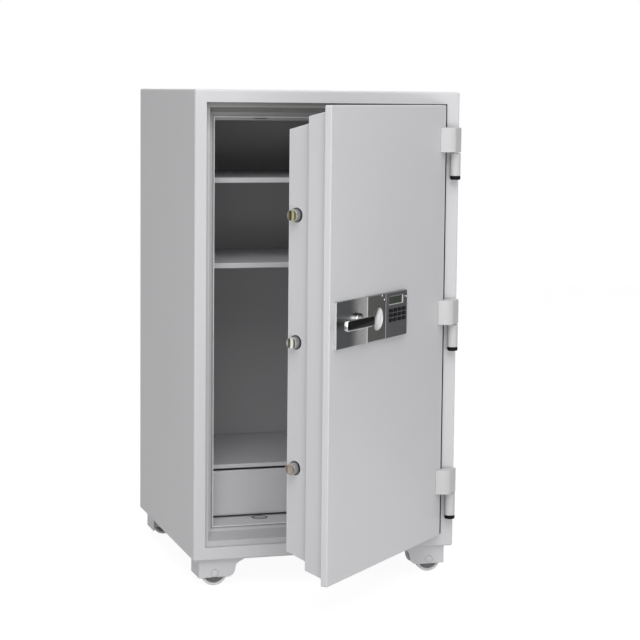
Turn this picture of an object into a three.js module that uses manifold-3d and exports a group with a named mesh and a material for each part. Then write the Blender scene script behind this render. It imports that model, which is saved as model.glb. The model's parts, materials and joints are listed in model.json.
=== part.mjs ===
// Fireproof data safe with its door ajar: a double-walled steel cabinet on four casters, a stepped door on
// three hinges, three round bolts thrown by a lever handle, a keypad lock, three shelves and a drawer.
// Millimetres, +Z up, the front faces -Y. Everything is laid out from the cabinet's left, front and base,
// with the door shut, and the door group is then turned about its hinge pins.
import * as THREE from "three";
import { mergeVertices } from "three/addons/utils/BufferGeometryUtils.js";
import Module from "manifold-3d";

const wasm = await Module();
wasm.setup();
const { Manifold } = wasm;

// Clearances
const fit = 0.3; // between two pieces that seat on each other
const doorGap = 2; // between the door panel and the frame round it
const stepGap = 3; // between a step of the door and the frame's step
const linerGap = 5; // between the door's bolt box and the liner it enters
const quarterRound = 0.55; // reach of a curve's handles where it turns a round quarter

// Cabinet
const cabinetWidth = 700;
const cabinetDepth = 670;
const cabinetHeight = 1190;
const casingSheet = 3;
const casingEdge = 6; // radius of the folded edges
const frameSide = 31; // the front frame that shows round the door
const frameHingeSide = 34.5;
const frameTop = 32;
const frameBottom = 33.5;
const frameSheet = 2.5;
const linerSheet = 2;
const linerProud = 1.5; // the liner's front edge stands out of the frame's last ledge
const linerLip = 7.5; // lip that hangs from the liner's ceiling
const lipSetBack = 18; // from the liner's front edge to the lip, clear of the shut door's bolt box
const lipSlotWide = 34;
const lipSlotTall = 3.6;
const lipSlotDrop = 0.8; // from the ceiling to the slot
const lipSlotFromSide = 125.5; // from the liner's left wall to the slot's middle
const backWall = 68;

// Door
const doorAjar = 45; // degrees, as photographed
const panelDepth = 17;
const panelSheet = 3;
const panelEdge = 2.4;
const panelCorner = 4.5;
const rebateSpare = 1; // behind the shut panel, to the frame's first ledge
const panelFlange = 16; // return flange behind the panel's edge
const stepOneInset = 13.4;
const stepOneTaper = 12.6;
const stepOneDepth = 57;
const stepTwoInset = 41;
const stepTwoTaper = 16;
const stepTwoDepth = 67;
const stepSheet = 2;
const ledgeSpare = 2; // from the first step's back to the frame's last ledge
const stepLedge = 24; // how far the first step's back plate reaches under the bolt box
const coverSheet = 2;

// Hinges
const hingeOut = 18.5; // pin axis in front of the cabinet's face
const hingeIn = 17; // pin axis inside the cabinet's right side
const leafEndRadius = 14;
const knuckleRadius = 13.1;
const hingePinRadius = 6;
const hingePinPoint = 2; // height and depth of the pin's chamfer
const hingeBore = 6.3;
const leafReach = 53; // from the pin axis to the leaf's edge on the door
const leafRound = 27; // length of the leaf's rounded flank
const leafTall = 63;
const leafLean = 6; // how far the flank leans in
const leafEdge = 1.5;
const leafFoot = 3; // from the panel's edge to the leaf's foot on it
const leafBack = 3.5; // between the leaf and the cabinet's face
const knuckleTall = 61;
const knuckleWeb = 16;
const knuckleDrop = 2.5; // from the leaf down to the knuckle
const hingeCapTall = 10;
const hingeCapRadius = 13.5;
const hingeCapRound = 3;
const pinInLeaf = 48;
const hingeFromTop = 57; // door's top edge to the upper leaf
const hingeFromBottom = 42; // door's bottom edge to the lower cap

// Bolt work
const boltRadius = 13.8;
const boltHoleRadius = 17.5;
const boltSpacing = 300;
const boltAboveMiddle = 3; // the middle bolt above the door's middle
const boltBehindStep = 42.5; // bolt axis behind the first step's back plate
const boltThrow = 25;
const boltEngage = 8; // how far a thrown bolt enters the liner's wall
const boltPocketSpare = 3; // beyond the tip of a thrown bolt
const boltChamfer = 2;
const boltRecess = 9.5; // radius of the hollow in a bolt's end
const boltRecessDeep = 1.8;
const boltLength = 68;
const guideSheet = 3;
const guideFromSide = 14;
const guideTall = 54;
const guideShort = 2; // from a guide's edge to the back cover
const barSheet = 4;
const barWide = 36;
const barFlange = 18;
const barBeyondBolt = 40;
const camSheet = 4;
const camHub = 13;
const camPinRadius = 4;
const camPinWall = 5;
const armBehindCam = 4; // clearance between the cam plate and the bar's arm
const camFromStep = 9.7; // cam plate behind the first step's back plate
const slotPlay = 0.8;
const slotRim = 8;
const camAngle = 45; // the cam's pin is this far each side of straight down at the ends of the throw

// Lock furniture on the door's face
const lockFromEdge = 22;
const lockAboveMiddle = 51.5;
const lockTall = 110;
const leverPlateWide = 153;
const leverPlateLow = 6; // thickness of its flat left part
const leverPlateHigh = 11; // and of its right end
const leverPlateFlat = 70; // length of the flat part, from which it rises
const leverPlateRound = 1.5;
const dishPlateWide = 95;
const dishPlateThick = 8;
const dishPlateCorner = 1.5;
const dishPlateEdge = 0.8;
const dishRadius = 29;
const dishDeep = 5.5;
const dishWall = 1.2;
const dishLip = 2; // flat rim round the hollow
const dishEdge = 0.5;
const dishFromLeft = 58;
const dishBelowMiddle = 2;
const keypadGap = 1.1;
const keypadWide = 118;
const keypadThick = 11;
const keypadFloor = 1.5;
const keypadCorner = 2.5;
const keypadEdge = 1.5;
const windowWide = 79;
const windowTall = 21;
const windowThick = 2;
const windowSunk = 2.5;
const windowFromTop = 9;
const windowFromMiddle = -4; // the window's middle from the keypad's
const keyColumns = 4;
const keyRows = 3;
const keyPitchX = 24;
const keyPitchZ = 11.7;
const keyWide = 17;
const keyTall = 8;
const keyThick = 5.5;
const keyProud = 1.6;
const keyCorner = 1;
const keyEdge = 0.8;
const keyClear = 0.4;
const keysFromMiddle = 4; // the keys' middle from the keypad's
const keyFirstRow = 44; // keypad's top edge to the first row of keys

// Lever handle
const leverFromLeft = 103.5;
const leverAbovePanelMiddle = 2.5;
const roseRadius = 20;
const roseSeat = 4; // plate left under the rose, which is let into it
const roseFront = 16.5; // door's face to the rose's front
const roseEdge = 2;
const stemRadius = 9;
const stemFlare = 3; // where the stem grows out of the rose
const spindleRadius = 6;
const spindleRoom = 2; // round the spindle where it passes the door's filling
const leverStandOff = 31.5; // door's face to the lever's back
const leverThick = 9;
const leverTall = 25;
const leverReach = 114; // spindle axis to the lever's free end
const leverHeel = 19; // spindle axis to the lever's other end
const leverRound = 6;
const leverEdge = 1.5;
const leverSkin = 3; // lever's metal in front of the spindle's end
const gripThick = 5;
const gripFromTip = 8;
const gripFromHeel = 1;
const gripRound = 4;
const gripEdge = 1.2;
const gripLow = 4.2; // chrome that shows under the black grip

// Inside
const shelfSheet = 2;
const shelfFold = 2.5;
const shelfTall = 14;
const shelfReturn = 10;
const shelfSetBack = 90; // frame's last ledge to the shelves' front edge
const shelfSideGap = 1;
const shelfBackGap = 2;
const drawerShelfTall = 11;
const topSpace = 156.3; // liner's ceiling to the upper shelf
const secondSpace = 221.5; // upper shelf to the middle shelf
const drawerShelfRise = 141.5; // liner's floor to the top of the shelf over the drawer
const railReach = 9;
const railTall = 5;
const railShort = 12; // a rail starts this far behind its shelf's front edge
const drawerTopGap = 5.5;
const drawerFloorGap = 8.5;
const drawerSheet = 1.6;
const drawerFrontSheet = 2;
const drawerLip = 12;
const drawerFootLip = 8;
const drawerSideGap = 6;
const drawerBehind = 30; // left free behind the drawer
const drawerHeadroom = 16;
const drawerRailReach = 14;
const drawerRailTall = 6;
const plugRadius = 18;
const plugThick = 10;
const plugDish = 1.5;
const plugEdge = 0.6;
const plugRim = 3.5;
const plugFromSide = 143; // from the liner's left wall
const plugFromLedge = 70;

// Casters
const wheelRadius = 33;
const wheelWide = 24;
const wheelRim = 6;
const wheelChamfer = 1.5;
const wheelRecess = 3;
const axleRadius = 8;
const axleSunk = 0.5; // behind the bracket's front plate
const axleFromSide = 60;
const axleDrop = 37;
const axleHoleRadius = 10;
const bracketSheet = 3;
const bracketFromSide = 18;
const bracketFromFront = 15;
const bracketLong = 119;
const bracketFoot = 76; // length of the bracket's bottom edge
const bracketDeep = 48;
const bracketBack = 86; // length of the bracket's side plate
const wheelBehindPlate = 4;
// Handles and points of the bracket's curved end, across from its foot and up from its bottom edge
const bracketEnd = [[13, 0], [19, 10], [21, 27], [23, 38], [32, 37]];

// Smoothness of round faces
const fine = 32;
const middling = 24;

const paint = { color: 0xc9c9cd, roughness: 0.45, metalness: 0.1 };
const innerPaint = { color: 0xa6a6ab, roughness: 0.55, metalness: 0.1 };
const shelfPaint = { color: 0xb4b4ba, roughness: 0.5, metalness: 0.1 };
const steel = { color: 0xb9b7b0, roughness: 0.3, metalness: 1 };
const brushed = { color: 0x8f8f8c, roughness: 0.35, metalness: 0.9 };
const darkBrushed = { color: 0x6b6b6c, roughness: 0.45, metalness: 0.8 };
const chrome = { color: 0xdfe0e2, roughness: 0.12, metalness: 1 };
const blackPlastic = { color: 0x141415, roughness: 0.4, metalness: 0 };
const keyPlastic = { color: 0x1b1b1d, roughness: 0.35, metalness: 0 };
const greenWindow = { color: 0x2f3a2b, roughness: 0.15, metalness: 0 };
const fireFill = { color: 0xd8d4c8, roughness: 0.95, metalness: 0 };
const wheelMetal = { color: 0xc4c4c2, roughness: 0.4, metalness: 0.3 };

// Geometry to solid and back
function toSolid(geometry) {
  const bare = geometry.index ? geometry.toNonIndexed() : geometry.clone();
  bare.deleteAttribute("normal");
  bare.deleteAttribute("uv");
  const merged = mergeVertices(bare, 1e-4);
  const mesh = new wasm.Mesh({
    numProp: 3,
    vertProperties: new Float32Array(merged.attributes.position.array),
    triVerts: new Uint32Array(merged.index.array),
  });
  return new Manifold(mesh);
}

function toGeometry(solid) {
  const mesh = solid.getMesh();
  const geometry = new THREE.BufferGeometry();
  geometry.setAttribute("position", new THREE.BufferAttribute(new Float32Array(mesh.vertProperties), 3));
  geometry.setIndex(new THREE.BufferAttribute(new Uint32Array(mesh.triVerts), 1));
  const flat = geometry.toNonIndexed();
  flat.computeVertexNormals();
  return flat;
}

function piece(name, finish, solid) {
  const mesh = new THREE.Mesh(toGeometry(solid), new THREE.MeshStandardMaterial(finish));
  mesh.name = name;
  return mesh;
}

function join(...solids) {
  return solids.reduce((whole, next) => whole.add(next));
}

function cut(solid, ...tools) {
  return tools.reduce((left, tool) => left.subtract(tool), solid);
}

// Simple solids
function box(x0, x1, y0, y1, z0, z1) {
  const geometry = new THREE.BoxGeometry(x1 - x0, y1 - y0, z1 - z0);
  return toSolid(geometry.translate((x0 + x1) / 2, (y0 + y1) / 2, (z0 + z1) / 2));
}

function rodZ(x, y, radius, z0, z1, sides = middling) {
  const geometry = new THREE.CylinderGeometry(radius, radius, z1 - z0, sides);
  return toSolid(geometry.rotateX(Math.PI / 2).translate(x, y, (z0 + z1) / 2));
}

function rodY(x, z, radius, y0, y1, sides = middling) {
  const geometry = new THREE.CylinderGeometry(radius, radius, y1 - y0, sides);
  return toSolid(geometry.translate(x, (y0 + y1) / 2, z));
}

function rodX(y, z, radius, x0, x1, sides = middling) {
  const geometry = new THREE.CylinderGeometry(radius, radius, x1 - x0, sides);
  return toSolid(geometry.rotateZ(-Math.PI / 2).translate((x0 + x1) / 2, y, z));
}

// A shape drawn in X and Y, raised from z0 to z1
function raise(shape, z0, z1, { bevel = 0, bevelSegments = 2, curveSegments = 8 } = {}) {
  const geometry = new THREE.ExtrudeGeometry(shape, {
    depth: z1 - z0 - 2 * bevel,
    bevelEnabled: bevel > 0,
    bevelThickness: bevel,
    bevelSize: bevel,
    bevelOffset: -bevel,
    bevelSegments,
    curveSegments,
  });
  return toSolid(geometry.translate(0, 0, z0 + bevel));
}

// A shape drawn in X and Z, drawn out from y0 to y1
function drawOut(shape, y0, y1, options) {
  return raise(shape, -y1, -y0, options).rotate([90, 0, 0]);
}

// A shape drawn in Y and Z, run across from x0 to x1
function runAcross(shape, x0, x1, options) {
  return raise(shape, x0, x1, options).rotate([90, 0, 90]);
}

function roundedRectangle(x0, x1, y0, y1, radius) {
  const shape = new THREE.Shape();
  shape.moveTo(x0 + radius, y0);
  shape.lineTo(x1 - radius, y0);
  shape.absarc(x1 - radius, y0 + radius, radius, -Math.PI / 2, 0);
  shape.lineTo(x1, y1 - radius);
  shape.absarc(x1 - radius, y1 - radius, radius, 0, Math.PI / 2);
  shape.lineTo(x0 + radius, y1);
  shape.absarc(x0 + radius, y1 - radius, radius, Math.PI / 2, Math.PI);
  shape.lineTo(x0, y0 + radius);
  shape.absarc(x0 + radius, y0 + radius, radius, Math.PI, 1.5 * Math.PI);
  return shape;
}

// A turned profile of [radius, height] points, with its axis along +Z
function turned(profile, sides = middling) {
  const geometry = new THREE.LatheGeometry(
    profile.map(([r, h]) => new THREE.Vector2(r, h)),
    sides,
  );
  return toSolid(geometry.rotateX(Math.PI / 2));
}

// A rectangle set in the XZ plane and stepped inwards with depth: each station is [inset, y]
function stepped(rectangle, stations) {
  const ring = ([inset, y]) => [
    [rectangle.x0 + inset, y, rectangle.z0 + inset],
    [rectangle.x1 - inset, y, rectangle.z0 + inset],
    [rectangle.x1 - inset, y, rectangle.z1 - inset],
    [rectangle.x0 + inset, y, rectangle.z1 - inset],
  ];
  const corners = stations.flatMap(ring);
  const faces = [0, 1, 2, 0, 2, 3];
  for (let level = 0; level + 1 < stations.length; level++) {
    for (let side = 0; side < 4; side++) {
      const a = level * 4 + side;
      const b = level * 4 + ((side + 1) % 4);
      faces.push(a, a + 4, b + 4, a, b + 4, b);
    }
  }
  const last = (stations.length - 1) * 4;
  faces.push(last, last + 2, last + 1, last, last + 3, last + 2);
  const geometry = new THREE.BufferGeometry();
  geometry.setAttribute("position", new THREE.Float32BufferAttribute(corners.flat(), 3));
  geometry.setIndex(faces);
  return toSolid(geometry);
}

// Places that several pieces share
const opening = {
  x0: frameSide,
  x1: cabinetWidth - frameHingeSide,
  z0: frameBottom,
  z1: cabinetHeight - frameTop,
};
const panel = {
  x0: opening.x0 + doorGap,
  x1: opening.x1 - doorGap,
  z0: opening.z0 + doorGap,
  z1: opening.z1 - doorGap,
};
const stepOneBack = panelDepth + stepOneDepth;
const stepTwoBack = stepOneBack + stepTwoDepth;
const ledgeY = stepOneBack + ledgeSpare;
const linerInset = doorGap + stepTwoInset - linerGap;
const liner = {
  x0: opening.x0 + linerInset,
  x1: opening.x1 - linerInset,
  y0: ledgeY - linerProud,
  y1: cabinetDepth - backWall,
  z0: opening.z0 + linerInset,
  z1: opening.z1 - linerInset,
};
const doorMiddle = (panel.z0 + panel.z1) / 2;
const boltY = stepOneBack + boltBehindStep;
const boltHeights = [-1, 0, 1].map((n) => doorMiddle + boltAboveMiddle + n * boltSpacing);
const boltTip = liner.x0 - boltEngage;
const hinge = { x: cabinetWidth - hingeIn, y: -hingeOut };
const hingeTall = leafTall + knuckleTall + hingeCapTall;
const hingeTops = [
  panel.z1 - hingeFromTop,
  (panel.z1 - hingeFromTop + panel.z0 + hingeFromBottom + hingeTall) / 2,
  panel.z0 + hingeFromBottom + hingeTall,
];
const lock = {
  x0: panel.x0 + lockFromEdge,
  z0: doorMiddle + lockAboveMiddle - lockTall / 2,
  z1: doorMiddle + lockAboveMiddle + lockTall / 2,
};
const dishPlateX = lock.x0 + leverPlateWide + fit;
const keypadX = dishPlateX + dishPlateWide + keypadGap;
const lever = {
  x: lock.x0 + leverFromLeft,
  z: (lock.z0 + lock.z1) / 2 + leverAbovePanelMiddle,
};

// Cabinet shells
function frameProfile(side, start, end) {
  const stepIn = doorGap - stepGap;
  const back = side ? frameSheet : 0;
  const rebate = panelDepth + rebateSpare + back;
  const ledge = ledgeY + back;
  return [
    [-side, start],
    [-side, rebate],
    [stepIn + stepOneInset - side, rebate],
    [stepIn + stepOneInset + stepOneTaper - side, ledge],
    [linerInset - linerSheet - fit, ledge],
    [linerInset - linerSheet - fit, end],
  ];
}

function cabinetCasing() {
  const face = roundedRectangle(0, cabinetWidth, 0, cabinetHeight, casingEdge);
  const block = drawOut(face, 0, cabinetDepth, { bevel: casingEdge / 2, curveSegments: 4 });
  const s = casingSheet;
  const inside = box(s, cabinetWidth - s, s, cabinetDepth - s, s, cabinetHeight - s);
  const doorway = box(opening.x0, opening.x1, -1, s + 1, opening.z0, opening.z1);
  return piece("cabinet_casing", paint, cut(block, inside, doorway));
}

function doorFrame() {
  const start = casingSheet + fit;
  const end = ledgeY + frameSheet;
  const outer = stepped(opening, frameProfile(frameSheet, start, end).slice(0, 5));
  const inner = stepped(opening, frameProfile(0, start - 1, end + 1));
  return piece("door_frame", paint, cut(outer, inner));
}

function cabinetInsulation() {
  const s = casingSheet + fit;
  const fill = box(s, cabinetWidth - s, s, cabinetDepth - s, s, cabinetHeight - s);
  const around = frameSheet + fit;
  const stepIn = doorGap - stepGap;
  const rebate = panelDepth + rebateSpare + around;
  const linerOut = linerInset - linerSheet - fit;
  const room = stepped(opening, [
    [-around, 0],
    [-around, rebate],
    [stepIn + stepOneInset - around, rebate],
    [stepIn + stepOneInset + stepOneTaper - around, ledgeY + around],
    [linerOut, ledgeY + around],
    [linerOut, liner.y1 + linerSheet + fit],
  ]);
  const pockets = boltHeights.map((z) =>
    rodX(boltY, z, boltHoleRadius, boltTip - boltPocketSpare, liner.x0),
  );
  const plug = anchorPlace();
  const plugPocket = rodZ(plug.x, plug.y, plugRadius + fit, plug.top - plugThick - fit, plug.top);
  return piece("cabinet_insulation", fireFill, cut(fill, room, ...pockets, plugPocket));
}

function anchorPlace() {
  return { x: liner.x0 + plugFromSide, y: ledgeY + plugFromLedge, top: liner.z0 - fit };
}

const shelfFront = ledgeY + shelfSetBack - 1;
const shelfBack = liner.y1 - shelfBackGap;
const shelfTops = {
  upper_shelf: liner.z1 - topSpace,
  middle_shelf: liner.z1 - topSpace - secondSpace,
  drawer_shelf: liner.z0 + drawerShelfRise,
};
const drawer = {
  x0: liner.x0 + drawerSideGap,
  x1: liner.x1 - drawerSideGap,
  z0: liner.z0 + drawerFloorGap,
  z1: shelfTops.drawer_shelf - drawerShelfTall - drawerTopGap,
  y1: liner.y1 - drawerBehind,
};
const trayBottom = drawer.z0 + drawerFrontSheet + fit;

// A pair of rails on the liner's side walls, carrying what is above them
function railPair(top, reach, tall, front) {
  const bite = linerSheet / 2;
  return [
    box(liner.x0 - bite, liner.x0 + reach, front, liner.y1 + bite, top - tall, top),
    box(liner.x1 - reach, liner.x1 + bite, front, liner.y1 + bite, top - tall, top),
  ];
}

function cabinetLiner() {
  const s = linerSheet;
  const { x0, x1, y0, y1, z0, z1 } = liner;
  const outer = box(x0 - s, x1 + s, y0, y1 + s, z0 - s, z1 + s);
  const inner = box(x0, x1, y0 - 1, y1, z0, z1);
  const lipY = y0 + lipSetBack;
  const lip = box(x0 - s / 2, x1 + s / 2, lipY, lipY + s, z1 - linerLip, z1 + s / 2);
  const slotX = x0 + lipSlotFromSide - lipSlotWide / 2;
  const slotTop = z1 - lipSlotDrop;
  const slot = box(slotX, slotX + lipSlotWide, lipY - 1, lipY + s + 1, slotTop - lipSlotTall, slotTop);
  const [high, low] = [shelfFront + railShort, shelfFront + drawerLip + railShort];
  const rails = [
    ...railPair(shelfTops.upper_shelf - shelfTall - fit, railReach, railTall, high),
    ...railPair(shelfTops.middle_shelf - shelfTall - fit, railReach, railTall, high),
    ...railPair(shelfTops.drawer_shelf - drawerShelfTall - fit, railReach, railTall, low),
    ...railPair(trayBottom - fit, drawerRailReach, drawerRailTall, low),
  ];
  const plug = anchorPlace();
  const holes = [
    ...boltHeights.map((z) => rodX(boltY, z, boltHoleRadius, x0 - s - 1, x0 + 1)),
    rodZ(plug.x, plug.y, plugRadius + fit, z0 - s - 1, z0 + 1),
  ];
  return piece("cabinet_liner", innerPaint, cut(join(cut(outer, inner), lip, ...rails), slot, ...holes));
}

function anchorPlug() {
  const plug = anchorPlace();
  const profile = [
    [0, -plugThick],
    [plugRadius - plugEdge, -plugThick],
    [plugRadius, -plugThick + plugEdge],
    [plugRadius, -plugEdge],
    [plugRadius - plugEdge, 0],
    [plugRadius - plugRim, 0],
    [plugRadius - plugRim - plugDish, -plugDish],
    [0, -plugDish],
  ];
  return piece("anchor_plug", shelfPaint, turned(profile).translate([plug.x, plug.y, plug.top]));
}

// A shelf is one sheet folded down and back under at the front and the back
function shelf(name, top, tall) {
  const s = shelfSheet;
  const r = shelfFold;
  const [a, b, low] = [shelfFront, shelfBack, top - tall];
  const shape = new THREE.Shape();
  shape.moveTo(a + shelfReturn, low);
  shape.lineTo(a + shelfReturn, low + s);
  shape.lineTo(a + s, low + s);
  shape.lineTo(a + s, top - s);
  shape.lineTo(b - s, top - s);
  shape.lineTo(b - s, low + s);
  shape.lineTo(b - shelfReturn, low + s);
  shape.lineTo(b - shelfReturn, low);
  shape.lineTo(b, low);
  shape.lineTo(b, top);
  shape.lineTo(a + r, top);
  shape.absarc(a + r, top - r, r, Math.PI / 2, Math.PI);
  shape.lineTo(a, low + r);
  shape.absarc(a + r, low + r, r, Math.PI, 1.5 * Math.PI);
  const solid = runAcross(shape, liner.x0 + shelfSideGap, liner.x1 - shelfSideGap, { curveSegments: 4 });
  return piece(name, shelfPaint, solid);
}

// Drawer
function drawerFront() {
  const s = drawerFrontSheet;
  const r = shelfFold;
  const [a, low, top] = [shelfFront, drawer.z0, drawer.z1];
  const shape = new THREE.Shape();
  shape.moveTo(a + drawerFootLip, low);
  shape.lineTo(a + drawerFootLip, low + s);
  shape.lineTo(a + s, low + s);
  shape.lineTo(a + s, top - s);
  shape.lineTo(a + drawerLip, top - s);
  shape.lineTo(a + drawerLip, top);
  shape.lineTo(a + r, top);
  shape.absarc(a + r, top - r, r, Math.PI / 2, Math.PI);
  shape.lineTo(a, low + r);
  shape.absarc(a + r, low + r, r, Math.PI, 1.5 * Math.PI);
  const solid = runAcross(shape, liner.x0 + shelfSideGap, liner.x1 - shelfSideGap, { curveSegments: 4 });
  return piece("drawer_front", shelfPaint, solid);
}

function drawerTray() {
  const s = drawerSheet;
  const front = shelfFront + drawerFrontSheet + fit;
  const top = drawer.z1 - drawerHeadroom;
  const outer = box(drawer.x0, drawer.x1, front, drawer.y1, trayBottom, top);
  const inner = box(drawer.x0 + s, drawer.x1 - s, front + s, drawer.y1 - s, trayBottom + s, top + 1);
  return piece("drawer_tray", innerPaint, cut(outer, inner));
}

// Hinges
function leafShape() {
  const shape = new THREE.Shape();
  const left = hinge.x - leafReach;
  const front = hinge.y - leafEndRadius;
  shape.moveTo(left, -fit);
  const flank = left + leafRound;
  const swell = flank - leafRound * quarterRound;
  shape.bezierCurveTo(left + leafLean, front * quarterRound, swell, front, flank, front);
  shape.lineTo(hinge.x, front);
  shape.absarc(hinge.x, hinge.y, leafEndRadius, -Math.PI / 2, Math.PI / 2);
  shape.lineTo(hinge.x, -leafBack - 1);
  shape.lineTo(opening.x1, -leafBack);
  shape.lineTo(panel.x1 - leafFoot, -fit);
  return shape;
}

function hingeLeaf(name, top) {
  const edges = { bevel: leafEdge, bevelSegments: 1, curveSegments: 6 };
  const body = raise(leafShape(), top - leafTall, top, edges);
  const bore = rodZ(hinge.x, hinge.y, hingeBore, top - leafTall - 1, top - leafTall + pinInLeaf + fit);
  return piece(name, paint, cut(body, bore));
}

function hingeKnuckle(name, top) {
  const high = top - leafTall - knuckleDrop;
  const low = top - leafTall - knuckleTall;
  const barrel = rodZ(hinge.x, hinge.y, knuckleRadius, low, high);
  const half = knuckleWeb / 2;
  const web = box(hinge.x - half, hinge.x + half, hinge.y, -fit, low, high);
  const bore = rodZ(hinge.x, hinge.y, hingeBore, low - 1, high + 1);
  return piece(name, paint, cut(join(barrel, web), bore));
}

function hingePin(name, top) {
  const low = top - leafTall - knuckleTall;
  const r = hingePinRadius;
  const length = pinInLeaf + knuckleTall + hingeCapTall / 2;
  const profile = [
    [0, 0],
    [r, 0],
    [r, length - hingePinPoint],
    [r - hingePinPoint, length],
    [0, length],
  ];
  return piece(name, steel, turned(profile).translate([hinge.x, hinge.y, low - hingeCapTall / 2]));
}

function hingeCap(name, top) {
  const high = top - leafTall - knuckleTall - fit;
  const r = hingeCapRadius;
  const profile = [
    [0, 0],
    [r - hingeCapRound, 0],
    [r - hingeCapRound * 0.3, hingeCapRound * 0.3],
    [r, hingeCapRound],
    [r, hingeCapTall - fit],
    [hingeBore, hingeCapTall - fit],
    [hingeBore, hingeCapTall / 2 - 2 * fit],
    [0, hingeCapTall / 2 - 2 * fit],
  ];
  return piece(name, blackPlastic, turned(profile).translate([hinge.x, hinge.y, high - hingeCapTall + fit]));
}

// Casters, drawn for the front left corner
function bracketShape() {
  const left = bracketFromSide;
  const foot = left + bracketFoot;
  const far = left + bracketLong;
  const low = -bracketDeep;
  const shape = new THREE.Shape();
  shape.moveTo(left, -fit);
  shape.lineTo(left, low);
  shape.lineTo(foot, low);
  const curve = bracketEnd.flatMap(([across, up]) => [foot + across, low + up]);
  shape.bezierCurveTo(...curve.slice(0, 6));
  shape.bezierCurveTo(...curve.slice(6), far, -fit - bracketSheet);
  shape.lineTo(far, -fit);
  return shape;
}

function casterBracket() {
  const front = bracketFromFront;
  const s = bracketSheet;
  const x0 = bracketFromSide;
  const plate = drawOut(bracketShape(), front, front + s, { curveSegments: 5 });
  const side = box(x0, x0 + s, front, front + bracketBack, -bracketDeep, -fit);
  const top = box(x0, x0 + bracketLong, front, front + bracketBack, -fit - s, -fit);
  const innerY = front + s + wheelBehindPlate + wheelWide + wheelBehindPlate;
  const innerPlate = drawOut(bracketShape(), innerY, innerY + s, { curveSegments: 5 });
  const axle = rodY(axleFromSide, -axleDrop, axleRadius, front + axleSunk, innerY + s / 2);
  const hole = rodY(axleFromSide, -axleDrop, axleHoleRadius, front - 1, front + s + 1);
  return join(cut(join(plate, side, top), hole), innerPlate, axle);
}

function casterWheel() {
  const near = bracketFromFront + bracketSheet + wheelBehindPlate;
  const r = wheelRadius;
  const deep = r - wheelRim;
  const bore = axleRadius + fit;
  const profile = [
    [bore, wheelRecess],
    [deep, wheelRecess],
    [deep, 0],
    [r - wheelChamfer, 0],
    [r, wheelChamfer],
    [r, wheelWide - wheelChamfer],
    [r - wheelChamfer, wheelWide],
    [deep, wheelWide],
    [deep, wheelWide - wheelRecess],
    [bore, wheelWide - wheelRecess],
    [bore, wheelRecess],
  ];
  return turned(profile).rotate([-90, 0, 0]).translate([axleFromSide, near, -axleDrop]);
}

function casters() {
  const group = new THREE.Group();
  const mirrors = {
    front_left: [1, 1],
    front_right: [-1, 1],
    rear_left: [1, -1],
    rear_right: [-1, -1],
  };
  for (const [corner, [sx, sy]] of Object.entries(mirrors)) {
    const place = (solid) => {
      const turnedRound = solid.scale([sx, sy, 1]);
      return turnedRound.translate([sx < 0 ? cabinetWidth : 0, sy < 0 ? cabinetDepth : 0, 0]);
    };
    group.add(piece(`caster_bracket_${corner}`, paint, place(casterBracket())));
    group.add(piece(`caster_wheel_${corner}`, wheelMetal, place(casterWheel())));
  }
  return group;
}

// Door shells
function doorPanel() {
  const face = roundedRectangle(panel.x0, panel.x1, panel.z0, panel.z1, panelCorner);
  const deep = panelDepth + panelEdge;
  const block = drawOut(face, 0, deep, { bevel: panelEdge, curveSegments: 4 });
  const trim = box(panel.x0 - 1, panel.x1 + 1, panelDepth, deep + 1, panel.z0 - 1, panel.z1 + 1);
  const hollow = stepped(panel, [
    [panelSheet, panelSheet],
    [panelSheet, panelDepth - panelSheet],
    [panelFlange, panelDepth - panelSheet],
    [panelFlange, panelDepth + 1],
  ]);
  const spindleHole = rodY(lever.x, lever.z, spindleRadius + fit, -1, panelDepth);
  return piece("door_panel", paint, cut(block, trim, hollow, spindleHole));
}

function doorStep() {
  const s = stepSheet;
  const outer = stepped(panel, [
    [stepOneInset, panelDepth + fit],
    [stepOneInset + stepOneTaper, stepOneBack],
  ]);
  const inner = stepped(panel, [
    [stepOneInset + s, panelDepth + fit - 1],
    [stepOneInset + stepOneTaper + s, stepOneBack - s],
  ]);
  const window = stepped(panel, [
    [stepOneInset + stepOneTaper + stepLedge, stepOneBack - s - 1],
    [stepOneInset + stepOneTaper + stepLedge, stepOneBack + 1],
  ]);
  return piece("door_step", paint, cut(outer, inner, window));
}

function doorInsulation() {
  const neck = panelFlange + fit;
  const wide = stepOneInset + stepOneTaper + stepSheet + 2 * fit;
  const tail = stepOneInset + stepOneTaper + stepLedge + fit;
  const fill = stepped(panel, [
    [panelSheet + fit, panelSheet + fit],
    [panelSheet + fit, panelDepth - panelSheet - fit],
    [neck, panelDepth - panelSheet - fit],
    [neck, panelDepth + fit],
    [wide, stepOneBack - stepSheet - fit],
    [tail, stepOneBack - stepSheet - fit],
    [tail, stepOneBack],
  ]);
  const spindleHole = rodY(lever.x, lever.z, spindleRadius + spindleRoom, 0, stepOneBack + 1);
  return piece("door_insulation", fireFill, cut(fill, spindleHole));
}

const boxFloor = stepOneBack + fit;
const boxBack = stepTwoBack - coverSheet - fit;
const boxSideX = panel.x0 + stepTwoInset + (stepTwoTaper * boltBehindStep) / stepTwoDepth;
const guideX = boxSideX + guideFromSide;

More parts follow.
